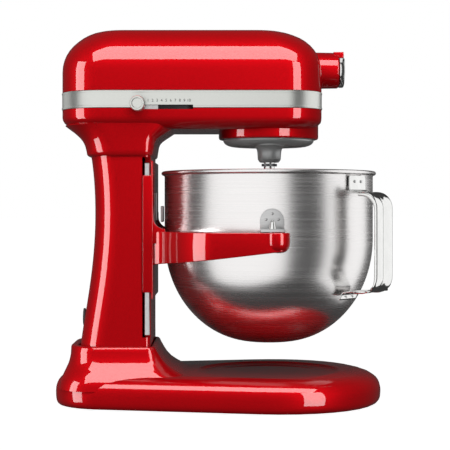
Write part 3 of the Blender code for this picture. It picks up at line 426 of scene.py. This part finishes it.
def make_base():
    """The plate with its dish and its hollow underside, and the collar that the column stands in."""
    plan = [(BASE_REAR, -71.8, 47.8), (BASE_FRONT, -141.7, 141.6)]
    plan += [(BASE_FRONT, 141.7, 141.6), (BASE_REAR, 71.8, 47.8)]
    upward = [(0, 0), (0.15, 3), (0.6, 6), (1.5, 9), (3.0, 12), (5.0, 14.5), (7.6, 16.7)]
    upward += [(11.0, 18.5), (15.5, 20)]
    downward = [(0, 0), (0.1, 3.5), (0.3, 7), (0.8, 10), (1.8, 12.4), (3.6, 14), (9, 14), (10, -4), (16, -12)]
    rear = (AXIS + BASE_REAR * MM, 0, 0)
    halves = []
    for steps, flip in ((upward, False), (downward, True)):
        half = outline(plan, BASE_WIDEST_Z)
        editing()
        bpy.ops.mesh.select_all(action="SELECT")
        if flip:
            bpy.ops.mesh.flip_normals()
        for (inset, rise), (next_inset, next_rise) in zip(steps, steps[1:]):
            gap = next_inset - inset
            bpy.ops.mesh.inset(thickness=gap * MM, depth=(next_rise - rise) * MM)
            bpy.ops.transform.resize(value=(1 - gap / 700, 1, 1), center_override=rear)
        done()
        halves.append(half)
    base = together(halves, "base")
    editing()
    bpy.ops.mesh.select_all(action="SELECT")
    bpy.ops.mesh.remove_doubles(threshold=0.00001)
    face_outwards()
    dish = turned("dish", [(110, 60), (79.5, 37.2), (77.6, 35.6), (75, 34.6), (71, 33.9), (64, 33.5)])
    carve(base, dish)
    collar = skin(
        "collar",
        [
            (-231, -74, 81, 39, 31, 22),
            (-230, -78, 80, 39, 30, 28),
            (-228.4, -86, 78.3, 38.6, 28, 33),
            (-226, -96, 75.3, 38, 26, 38.2),
            (-224, -104.5, 71.8, 37.6, 23, 42.8),
            (-221.9, -111.5, 68.4, 37, 20, 47.6),
            (-220.4, -116.3, 66.2, 36.4, 17, 52.6),
            (-219.4, -120, 64.6, 36, 14, 58),
            (-219.2, -122.8, 63.6, 36, 11.5, 62.6),
            (-219.1, -124.7, 62.8, 35.6, 9, 66.2),
            (-218.5, -125.8, 61.9, 35, 8, 67.6),
            (-217.2, -126.6, 60.8, 34.6, 7.5, 68.2),
            (-213.4, -128.6, 58.2, 34.4, 6.8, 68.0),
            (-212.2, -129.0, 57.6, 34, 6.6, 66.5),
            (-212.2, -129.0, 57.6, 34, 6.6, 50.0),
        ],
    )
    boss = [(13, 30), (15.5, 28), (15.5, 7.4), (14.5, 6.4)]
    bosses = [turned("foot_boss", boss, (x, y, 0), sides=32) for x, y in FOOT_PLACES]
    complete(together([base, collar, *bosses], "base"), "red_enamel", "stand", "base_casting")


def make_feet():
    profile = [(4, 13), (4, 6.2), (10.2, 6.2), (11, 5.6), (11, 1.2), (10.6, 0.4), (9.8, 0.02), (7, 0.02)]
    profile += [(6.2, 0.8), (2, 0.8)]
    for i, (x, y) in enumerate(FOOT_PLACES):
        foot = turned(f"foot_{i + 1}", profile, (x, y, 0), sides=40)
        complete(foot, "black_rubber", "stand", f"rubber_foot_{i + 1}")


def column_rear(z):
    """The column's rear edge at a height, on the smooth curve through its stations."""
    stations = [(COLUMN_LOW, -211.0), (100, -204.2), (150, -196.8), (215, -192.9), (250, -194.3)]
    stations += [(COLUMN_HIGH, -197.5)]
    x = 0.0
    for i, (zi, xi) in enumerate(stations):
        share = 1.0
        for j, (zj, xj) in enumerate(stations):
            if i != j:
                share *= (z - zj) / (zi - zj)
        x += share * xi
    return x


def make_column():
    """The column, with steps for its two rails, a slot for the lift and bores for the lever and the cord."""
    heights = [COLUMN_LOW + (COLUMN_HIGH - COLUMN_LOW) * i / 24 for i in range(25)]
    rings = [(column_rear(z), COLUMN_FRONT, COLUMN_HALF, COLUMN_CORNER, 6, z) for z in heights]
    column = skin("column", rings)
    thicken(column, 6)
    steps = [mirrored_block("step", (-138.9, -120), (49.7, 80), (78, 274), side) for side in (-1, 1)]
    slot = block("slot", (-141, -5.2, 143.5), (-120, 5.2, 206.5))
    bore = turned("bore", [(6.4, 40), (6.4, 70)], (LIFT_X, 0, LIFT_Z), "Y", 32)
    gland = turned("gland_bore", [(6.6, -230), (6.6, -190)], (0, 0, GLAND_Z), "X", 32)
    carve(column, *steps, slot, bore, gland)
    complete(column, "red_enamel", "stand", "column")


make_base()
make_feet()
make_column()

# Head


def head_ring(z, rear=HEAD_REAR, front=HEAD_FRONT, half=HEAD_HALF, inset=0.0):
    """The head's level outline, drawn in by inset."""
    return (rear + inset, front - inset, half - inset, 50.0 - inset, 40.0 - inset, z)


def make_cover():
    """The crown over the motor, the hub's barrel and the two lugs that carry its cap."""
    rings = [head_ring(BAND_HIGH + 0.3)]
    for turn in (0, 8, 16, 24, 32, 40, 48, 56, 64, 72, 80, 86, 90):
        drop = 1 - cos(radians(turn))
        z = HEAD_TOP - CROWN_REAR * (1 - sin(radians(turn)))
        rear = HEAD_REAR + CROWN_REAR * drop
        front = HEAD_FRONT - CROWN_FRONT * drop
        rings.append(head_ring(z, rear, front, HEAD_HALF - CROWN_SIDE * drop))
    cover = skin("head_cover", rings)
    close_end(lambda at: at.z > (HEAD_TOP - 0.1) * MM)
    thicken(cover, HEAD_WALL)
    carve(cover, turned("hub_opening", [(17.2, 30), (17.2, 90)], (0, 0, HUB_Z), "X", 64))
    barrel = [(20.6, 40), (20.3, 60), (20, 76.6), (19.8, 77.6), (19.2, BARREL_END), (17.4, BARREL_END)]
    barrel += [(17, BARREL_END - 0.4), (17, 40)]
    parts = [cover, turned("barrel", barrel, (0, 0, HUB_Z), "X", 96, closed=True)]
    parts += [mirrored_block("lug", (72.4, 84), (8.7, 11.5), (386.6, 393.4), side, 0.6) for side in (-1, 1)]
    complete(together(parts, "head_cover"), "red_enamel", "stand", "head_top_cover")


def make_band():
    """The trim band, with a lip along each edge and the lower half of the speed slot."""
    lip = [(2.2, 0), (0.2, 0), (-0.5, 0.3), (-0.75, 0.9), (-0.75, 1.9), (-0.4, 2.5), (-0.3, 3.2)]
    rings = [head_ring(BAND_LOW + rise, inset=inset) for inset, rise in lip]
    rings += [head_ring(BAND_HIGH - rise, inset=inset) for inset, rise in reversed(lip)]
    band = skin("trim_band", rings)
    editing()
    bpy.ops.mesh.select_all(action="DESELECT")
    bpy.ops.mesh.select_non_manifold()
    bpy.ops.mesh.bridge_edge_loops()
    face_outwards()
    carve(band, block("slot", (SLOT_REAR, -80, BAND_LOW - 3), (SLOT_FRONT, -55, SLOT_TOP)))
    complete(band, "satin_trim", "stand", "trim_band")


def make_marks():
    """The numbers 1 to 10 above the speed slot."""
    for i in range(10):
        bpy.ops.object.select_all(action="DESELECT")
        place = (AXIS + (-132 + 4.9 * i) * MM, -(HEAD_HALF + 0.5) * MM, 333.4 * MM)
        bpy.ops.object.text_add(location=place, rotation=(pi / 2, 0, 0))
        mark = bpy.context.object
        mark.data.body = str(i + 1)
        mark.data.size = 0.0042
        mark.data.align_x = "CENTER"
        mark.data.extrude = 0.00012
        bpy.ops.object.convert(target="MESH")
        bpy.ops.object.transform_apply(location=True, rotation=True, scale=True)
        mark.name = f"speed_mark_{i + 1}"
        mark.data.materials.append(DARK_MARKS)
        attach(mark, "stand")


def make_housing():
    """The tray under the motor, the neck that flares into it from the column, and the round gear case."""
    tray_bottom = 304.5
    tray = [
        (-206, 36, 50, 38, 34, tray_bottom),
        (-211, 40.5, 53.3, 40, 35, 304.9),
        (-215, 45, 56.5, 42, 36, 305.8),
        (-219, 49, 59.0, 44, 37, 307.2),
        (-222.5, 52.4, 61.2, 46, 38, 308.9),
        (-225.6, 55.2, 63.1, 47.5, 39, 310.8),
        (-228, 57.2, 64.6, 49, 40, 313.0),
        (-229.4, 57.8, 65.6, 49.7, 40, 315.6),
        head_ring(318.4),
        head_ring(BAND_LOW - 0.3),
    ]
    housing = skin("lower_housing", tray)
    close_end(lambda at: at.z < (tray_bottom + 0.1) * MM)
    thicken(housing, HEAD_WALL)
    opening = turned("opening", [(GEARCASE_BORE, 296), (GEARCASE_BORE, 311)])
    passage = block("passage", (-193, -50, 290), (-135, 50, 313), 6)
    slot = block("slot", (SLOT_REAR, -80, BAND_LOW - 1.6), (SLOT_FRONT, -55, BAND_LOW + 5))
    carve(housing, opening, passage, slot)
    case = [(54, 314), (56, 314), (56, 298), (55.8, 296.8), (55.1, 295.7), (54, 295.3), (52.8, 295.3)]
    case += [(52.1, 295.8), (GEARCASE_BORE, 296.8), (GEARCASE_BORE, 311.6), (11.4, 311.6), (11.4, 314)]
    neck = skin(
        "neck",
        [
            (-192, -134, 51, 15, 5, 277.4),
            (-199.2, -130, 58, 33.6, 7.6, 277.4),
            (-200, -129.5, 58.5, 34, 8, 278.2),
            (-200.6, -129, 58.8, 34.2, 8.4, 282),
            (-201.6, -128.3, 59, 34.6, 9, 286),
            (-203, -127.6, 59.3, 35, 10, 289.8),
            (-205, -126, 59.5, 35.8, 11.4, 293.4),
            (-207.7, -122.8, 59.8, 37, 13.6, 296.8),
            (-211, -118, 60, 38.6, 16.4, 300),
            (-214.8, -112.8, 60.3, 40.4, 19.2, 303.2),
            (-219.4, -107.4, 60.5, 42.4, 22.4, 306.6),
            (-225.4, -101.6, 61, 43.6, 25.8, 311),
        ],
    )
    thicken(neck, 2)
    parts = [housing, turned("gear_case", case, closed=True), neck]
    complete(together(parts, "lower_housing"), "red_enamel", "stand", "head_lower_housing")


def make_hub_cap():
    profile = [(4, 84.5), (12, 84.5), (14.5, 84.2), (15, 84.7), (17.4, 84.7), (18.6, 84.2), (19.2, 83.2)]
    profile += [(19.2, 79.4), (18.8, 79.0), (4, 79.0)]
    cap = turned("hub_cap", profile, (0, 0, HUB_Z), "X", 96)
    notches = [mirrored_block("notch", (70, 90), (8.3, 25), (385.9, 400), side) for side in (-1, 1)]
    carve(cap, *notches)
    complete(cap, "polished_steel", "hub_cap", "hub_cap")


def make_attachment_knob():
    """The knob that clamps what is in the hub, with grooves round its grip."""
    x = 68
    groove_reach = 10.9
    profile = [(6, 41), (8.4, 41), (9.6, 40.6), (10.5, 39.4), (10.5, 28.6), (9.8, 27), (8.6, 26), (5, 24.2)]
    profile += [(3, 24), (3, 15)]
    knob = turned("attachment_knob", profile, (x, 0, HUB_Z), "Y", 64)
    turns = [2 * pi * i / 18 for i in range(18)]
    places = [(x + groove_reach * cos(turn), 0, HUB_Z + groove_reach * sin(turn)) for turn in turns]
    grooves = [turned("groove", [(0.9, 20), (0.9, 42)], place, "Y", 10) for place in places]
    carve(knob, together(grooves, "grooves"))
    complete(knob, "dark_plastic", "attachment_knob", "attachment_knob")


def make_speed_knob():
    profile = [(1.5, -77.0), (5.2, -77.1), (5.9, -77.7), (6.8, -77.8), (7.6, -77.5), (8.15, -76.6)]
    profile += [(8.2, -75.6), (8.2, -69.4), (7.8, -68.9)]
    slide = turned("speed_knob", profile, (KNOB_X, 0, KNOB_Z), "Y", 64)
    complete(slide, "satin_trim", "speed_control", "speed_knob")


def make_slot_painted_shade():
    """A dark sheet behind the speed slot: painted shade that stands in for the shadow inside the slot."""
    shade_sheet = block("slot_painted_shade_sheet", (-152, -58.9, 321), (-79, -58.3, 336), 0.2)
    complete(shade_sheet, "dark_plastic", "stand")


make_cover()
make_band()
make_slot_painted_shade()
make_marks()
make_housing()
make_hub_cap()
make_attachment_knob()
make_speed_knob()

# Planetary


def make_planetary():
    """The shallow disc that turns in the gear case, and the post that carries the beater shaft."""
    disc = [(9.6, 308), (9.6, 296.2), (49.6, 296), (50.6, 295.7), (51, 295), (50.9, 293.8), (50.3, 292.4)]
    disc += [(49.2, 291), (47.6, 289.8), (45.4, 288.7), (42.6, 287.9), (39, 287.4), (34, 287.1), (28, 287)]
    post = [(19, 289.5), (18.4, 287.4), (16.8, 286.8), (15.4, 285.8), (14.3, 284.3), (13.6, 282.4)]
    post += [(13.2, 280.2), (13, 277), (12.7, 272.6), (12.4, 271.8), (11.0, 269.8), (10.3, 269.1)]
    post += [(9.6, 269), (8.6, 269)]
    planetary = turned("planetary", disc)
    carve(planetary, turned("post", post, (0, BEATER_Y, 0)), how="UNION")
    carve(planetary, turned("shaft_bore", [(6.3, 260), (6.3, 320)], (0, BEATER_Y, 0), sides=48))
    complete(planetary, "grey_enamel", "planetary", "planetary")


make_planetary()

# Bowl and its support


def bowl_side(inwards):
    """From the rim down to the flat of the bottom, drawn in by a wall."""
    reach = BOWL_RADIUS - BOWL_FLAT - inwards
    depth = BOWL_CURVE_TOP - BOWL_BOTTOM - inwards
    points = [(BOWL_RADIUS - inwards, 253.6)]
    for turn in range(0, 91, 3):
        points.append((BOWL_FLAT + reach * cos(radians(turn)), BOWL_CURVE_TOP - depth * sin(radians(turn))))
    return points


def make_bowl():
    """The bowl's inner side, its rolled rim and its outer side."""
    middle = 8
    bead = []
    for turn in range(200, -121, -20):
        radius = BOWL_RADIUS + 1.2 + BEAD_RADIUS * cos(radians(turn))
        bead.append((radius, BEAD_Z + BEAD_RADIUS * sin(radians(turn))))
    inner = [(middle, BOWL_BOTTOM + BOWL_WALL), *reversed(bowl_side(BOWL_WALL)), (115.95, 255.2)]
    outer = [(117.3, 254.4), *bowl_side(0), (middle, BOWL_BOTTOM)]
    bowl = turned("bowl", [*inner, *bead, *outer], sides=192)
    complete(bowl, "brushed_bowl_steel", "bowl", "bowl")


def bend(x, z, radius, turns):
    """Points round a centre, with turns in degrees from the x axis up."""
    return [(x + radius * cos(radians(turn)), z + radius * sin(radians(turn))) for turn in turns]


def turn_with_handle(piece):
    """Swings a piece, made along the x axis, round the bowl to the handle's side."""
    piece.rotation_euler = (0, 0, HANDLE_TURN)
    piece.location = (AXIS, 0, 0)
    bpy.ops.object.transform_apply(location=True, rotation=True, scale=True)


def make_handle():
    """A steel strap down the bowl, out round the fingers and back, grooved and rolled in at both edges."""
    on_bowl = 118.5
    outer = 152.9
    corner = 17
    path = [(on_bowl, 253.5), (on_bowl, 247), (on_bowl, 241)]
    path += bend(on_bowl + 5.5, 241, 5.5, (200, 220, 240, 260))
    path += [(on_bowl + 12, 235.0), (on_bowl + 15, 235.0)]
    path += bend(outer - corner, 218, corner, range(90, -1, -10))
    path += [(outer, 200), (outer, 182), (outer, 164)]
    path += bend(outer - corner, 146, corner, range(0, -91, -10))
    path += [(124, 129.0), (116, 129.0), (112.5, 128.8), (110.4, 128.0), (108.8, 126.6)]
    path += [(107.4, 124), (105.5, 119.5)]
    single_point()
    bpy.ops.transform.translate(value=(path[0][0] * MM, -HANDLE_HALF * MM, path[0][1] * MM))
    bpy.ops.mesh.extrude_vertices_move(TRANSFORM_OT_translate={"value": (0, 2 * HANDLE_HALF * MM, 0)})
    bpy.ops.mesh.select_all(action="SELECT")
    for (x0, z0), (x1, z1) in zip(path, path[1:]):
        bpy.ops.mesh.extrude_edges_move(TRANSFORM_OT_translate={"value": ((x1 - x0) * MM, 0, (z1 - z0) * MM)})
    for y in (-14.6, -12.8, -3.4, -1.9, 1.9, 3.4, 12.8, 14.6):
        bpy.ops.mesh.select_all(action="SELECT")
        bpy.ops.mesh.bisect(plane_co=(0, y * MM, 0), plane_no=(0, 1, 0))
    done()
    handle = bpy.context.object
    handle.name = "handle"
    outward = max(handle.data.polygons, key=lambda face: face.center.x).normal.x
    if outward < 0:
        editing()
        bpy.ops.mesh.select_all(action="SELECT")
        bpy.ops.mesh.flip_normals()
        done()
    free = 123.5 * MM
    pick(lambda at: abs(at.y) < 0.0021 and at.x > free)
    bpy.ops.transform.shrink_fatten(value=-0.0016)
    pick(lambda at: abs(at.y) > 0.0158 and at.x > free)
    bpy.ops.transform.shrink_fatten(value=-0.0009)
    bpy.ops.mesh.extrude_edges_move(TRANSFORM_OT_translate={"value": (0, 0, 0)})
    bpy.ops.transform.shrink_fatten(value=-0.0035)
    done()
    change(handle, "SOLIDIFY", thickness=0.0016, offset=0.0, use_even_offset=True)
    change(handle, "SUBSURF", levels=1)
    turn_with_handle(handle)
    complete(handle, "polished_steel", "bowl", "bowl_handle", angle=60)


def make_weld_spots():
    """Two spots on each end of the handle."""
    dome = [(1.7, 0), (1.6, 0.35), (1.1, 0.7), (0.4, 0.9)]
    for i, (radius, z, tilt) in enumerate(((119.5, 247.0, 90), (108.3, 123.4, 62))):
        for j, y in enumerate((-6.2, 6.2)):
            spot = turned(f"weld_spot_{i}{j}", dome, (-AXIS / MM, 0, 0), sides=24)
            spot.rotation_euler = (0, radians(tilt), 0)
            spot.location = (radius * MM, y * MM, z * MM)
            bpy.ops.object.transform_apply(location=True, rotation=True, scale=True)
            turn_with_handle(spot)
            complete(spot, "bracket_steel", "bowl")


def upright(name, points, y_low, y_high, rounding=0.0):
    """A flat piece that stands up, from (x, height, corner radius) points."""
    piece = outline(points, 0)
    piece.name = name
    editing()
    bpy.ops.mesh.select_all(action="SELECT")
    bpy.ops.mesh.extrude_region_move(TRANSFORM_OT_translate={"value": (0, 0, (y_high - y_low) * MM)})
    face_outwards()
    piece.rotation_euler = (pi / 2, 0, 0)
    piece.location = (0, y_high * MM, 0)
    bpy.ops.object.transform_apply(location=True, rotation=True, scale=True)
    if rounding:
        round_edges(piece, rounding)
    return piece


def make_brackets():
    """The bowl's side brackets: a round-topped plate with three spots, and a tab with a hole for the pin."""
    face = 120.3
    foot = 196.6
    top = 217.5
    corners = [(-BRACKET_HALF, foot, 0.5), (BRACKET_HALF, foot, 0.5)]
    corners += [(BRACKET_HALF, top, 12.6), (-BRACKET_HALF, top, 12.6)]
    for side, name in ((-1, "left"), (1, "right")):
        plate = upright(f"bracket_{name}", corners, *sorted((side * 117.9, side * face)), 0.35)
        across = (-BRACKET_HALF, BRACKET_HALF)
        tab = mirrored_block("tab", across, (118.9, 138.0), (ARM_TOP + 0.4, ARM_TOP + 4), side, 0.8)
        carve(tab, turned("hole", [(5.2, 190), (5.2, 200)], (0, side * PIN_Y, 0), sides=48))
        dome = [(1.5, 0), (1.35, side * 0.4), (0.8, side * 0.7), (0.2, side * 0.8)]
        places = ((0, 212.6), (-6.4, 206.6), (6.4, 206.6))
        spots = [turned("spot", dome, (x, side * face, z), "Y", 20) for x, z in places]
        bracket = together([plate, tab, *spots], f"bracket_{name}")
        complete(bracket, "bracket_steel", "bowl", f"bowl_bracket_{name}")


def make_pins():
    profile = [(0.4, 206), (1.3, 205.8), (1.9, 205.2), (2.6, 203), (4.3, 194), (4.4, 193.3)]
    profile += [(3.6, 193.1), (3.6, 184.2)]
    for side, name in ((-1, "left"), (1, "right")):
        pin = turned(f"pin_{name}", profile, (0, side * PIN_Y, 0), sides=48)
        complete(pin, "polished_steel", "carriage", f"locating_pin_{name}")


def bowl_room():
    """The round space that the yoke leaves for the bowl."""
    return turned("bowl_room", [(YOKE_RADIUS, 120), (YOKE_RADIUS, 220)], sides=160)


def make_yoke():
    """The two arms round the bowl, which taper forwards on their undersides, and the cups at their ends."""
    low = 150
    edge = [(-128.6, 57, 0), (-118.5, 59.4, 14), (-89.5, 117.5, 26), (-52, 136.4, 40), (11, 138.0, 3)]
    edge += [(11, 125, 2), (-2, 125, 1), (-2, 100, 0)]
    yoke = outline([(x, -y, radius) for x, y, radius in edge] + edge[::-1], low)
    editing()
    bpy.ops.mesh.select_all(action="SELECT")
    bpy.ops.mesh.extrude_region_move(TRANSFORM_OT_translate={"value": (0, 0, (ARM_TOP - low) * MM)})
    bpy.ops.mesh.select_all(action="SELECT")
    slope_at = (AXIS + 10 * MM, 0, 173.5 * MM)
    bpy.ops.mesh.bisect(plane_co=slope_at, plane_no=(0.12, 0, -1), use_fill=True, clear_outer=True)
    face_outwards()
    carve(yoke, bowl_room())
    round_edges(yoke, 1.3)
    cup = [(2, ARM_TOP), (11.4, ARM_TOP), (12.2, 192.7), (12.6, 191.8), (12.6, 183), (12.2, 179.6)]
    cup += [(11, 176.4), (8.8, 173.8), (5.6, 172.3), (2, 171.9)]
    ends = together([turned("boss", cup, (5.6, side * 128.4, 0), sides=64) for side in (-1, 1)], "arm_ends")
    carve(ends, bowl_room())
    yoke = together([yoke, ends], "yoke")
    socket = [(3.9, 183.4), (3.9, 200)]
    carve(yoke, *[turned("socket", socket, (0, side * PIN_Y, 0), sides=32) for side in (-1, 1)])
    return yoke


def make_support():
    """The plate that slides on the rails, with the yoke, two flanges, two fillets and the lifting lug."""
    back = -128.6
    fillet = [(back, 214, 0), (-126.8, 214, 0)]
    fillet += [(x, z, 0) for x, z in bend(-114.2, 208.5, 12.6, range(180, 271, 10))]
    fillet += [(-112, 180, 0), (back, 180, 0)]
    parts = [make_yoke(), block("plate", (-129.25, -SUPPORT_HALF, 120), (-127.2, SUPPORT_HALF, 270), 0.7)]
    for side in (-1, 1):
        parts.append(mirrored_block("flange", (-138.2, -127.6), (55.5, SUPPORT_HALF), (127, 254), side, 0.7))
        parts.append(upright("gusset", fillet, *sorted((side * 44, side * 59.6)), 0.4))
    lug = block("lug", (-186, -4, 181.5), (-128, 4, 203.5), 0.8)
    carve(lug, block("lug_slot", (-178.75, -10, 188.1), (-163.3, 10, 196.9)))
    complete(together([*parts, lug], "bowl_support"), "red_enamel", "carriage", "bowl_support")


def make_lever():
    low = LIFT_Z - 11
    high = LIFT_Z + 80
    shape = [(LIFT_X - 11, low, 10.6), (LIFT_X + 11, low, 10.6)]
    shape += [(LIFT_X + 6, high, 5.9), (LIFT_X - 6, high, 5.9)]
    lever = upright("lift_lever", shape, 62, 70, 1.0)
    complete(lever, "satin_trim", "lift_lever", "lift_lever")
    profile = [(6.6, 91.4), (8.4, 91.1), (9.2, 90.2), (9.5, 89), (9.5, 75), (9, 73.4), (8, 71.6), (7, 70.4)]
    grip = turned("lever_grip", profile, (LIFT_X, 0, LIFT_Z + 74), "Y", 64)
    complete(grip, "dark_plastic", "lift_lever", "lever_grip")


make_bowl()
make_handle()
make_weld_spots()
make_brackets()
make_pins()
make_support()
make_lever()

# Camera, light and floor

MIDDLE = Vector((0, 0, 0.2))


def around(azimuth, elevation, distance):
    """A place seen from the machine: azimuth to the right of the camera, elevation up."""
    flat = distance * cos(radians(elevation))
    height = distance * sin(radians(elevation))
    return MIDDLE + Vector((flat * sin(radians(azimuth)), -flat * cos(radians(azimuth)), height))


def panel(name, at, width, height, radiance, lit):
    """A soft rectangular light that faces the machine and lights one collection of pieces."""
    data = bpy.data.lights.new(name, "AREA")
    data.shape = "RECTANGLE"
    data.size = width
    data.size_y = height
    data.energy = radiance * pi * width * height
    light = bpy.data.objects.new(name, data)
    light.location = at
    light.rotation_euler = (MIDDLE - at).to_track_quat("-Z", "Y").to_euler()
    light.visible_camera = False
    light.light_linking.receiver_collection = lit
    bpy.context.scene.collection.objects.link(light)


def make_camera():
    data = bpy.data.cameras.new("camera")
    data.lens = 106.4
    data.shift_y = -1 / 30
    camera = bpy.data.objects.new("camera", data)
    camera.location = (AXIS - 0.049, -1.5, 0.2165)
    camera.rotation_euler = (pi / 2, 0, 0)
    bpy.context.scene.collection.objects.link(camera)
    bpy.context.scene.camera = camera
    bpy.context.scene.view_settings.view_transform = "Standard"


def light_pieces():
    """Narrow bright strips for the enamel, and wide soft boxes for the steel."""
    steels = ["brushed_bowl_steel", "bracket_steel", "polished_steel", "plain_steel"]
    steels += ["satin_trim", "grey_enamel"]
    steel_finishes = [FINISHES[name] for name in steels]
    steel = bpy.data.collections.new("steel_pieces")
    painted = bpy.data.collections.new("painted_pieces")
    for piece in list(bpy.context.scene.objects):
        if piece.type == "MESH" and piece.data.materials and piece.data.materials[0]:
            group = steel if piece.data.materials[0] in steel_finishes else painted
            group.objects.link(piece)
    panel("left_strip", around(-70, 4, 1.8), 0.75, 1.7, 9.0, painted)
    panel("right_strip", around(36, 4, 1.8), 0.75, 1.7, 9.0, painted)
    panel("top_strip", around(0, 51, 1.8), 2.4, 1.1, 9.0, painted)
    panel("front_softbox", around(-26, 2, 1.5), 3.2, 3.2, 1.15, steel)
    panel("right_softbox", around(94, 4, 1.7), 2.3, 3.0, 1.15, steel)
    panel("left_softbox", around(-120, 10, 1.8), 1.3, 2.2, 0.6, steel)
    panel("high_softbox", around(0, 80, 1.8), 1.6, 1.6, 1.0, steel)


def make_floor():
    bpy.ops.object.select_all(action="DESELECT")
    bpy.ops.mesh.primitive_plane_add(size=60)
    floor = bpy.context.object
    floor.name = "floor"
    finish = surface(
        "floor", (0.86, 0.86, 0.86), (0.6, 0.8), scale=3.0, spread=0.01, bump=0.0,
        Emission_Color=(1, 1, 1, 1), Emission_Strength=1.0,
    )
    floor.data.materials.append(finish)
    floor.visible_glossy = False
    floor.visible_diffuse = False
    floor.visible_shadow = False


def make_world():
    """A white backdrop that lights the machine only a little."""
    world = bpy.data.worlds.new("studio")
    bpy.context.scene.world = world
    world.use_nodes = True
    nodes, links = world.node_tree.nodes, world.node_tree.links
    backdrop = nodes["Background"]
    backdrop.inputs["Color"].default_value = (1, 1, 1, 1)
    path = nodes.new("ShaderNodeLightPath")
    level = nodes.new("ShaderNodeMapRange")
    level.inputs["To Min"].default_value = 0.05
    level.inputs["To Max"].default_value = 1.0
    links.new(path.outputs["Is Camera Ray"], level.inputs["Value"])
    links.new(level.outputs["Result"], backdrop.inputs["Strength"])


make_camera()
light_pieces()
make_floor()
make_world()
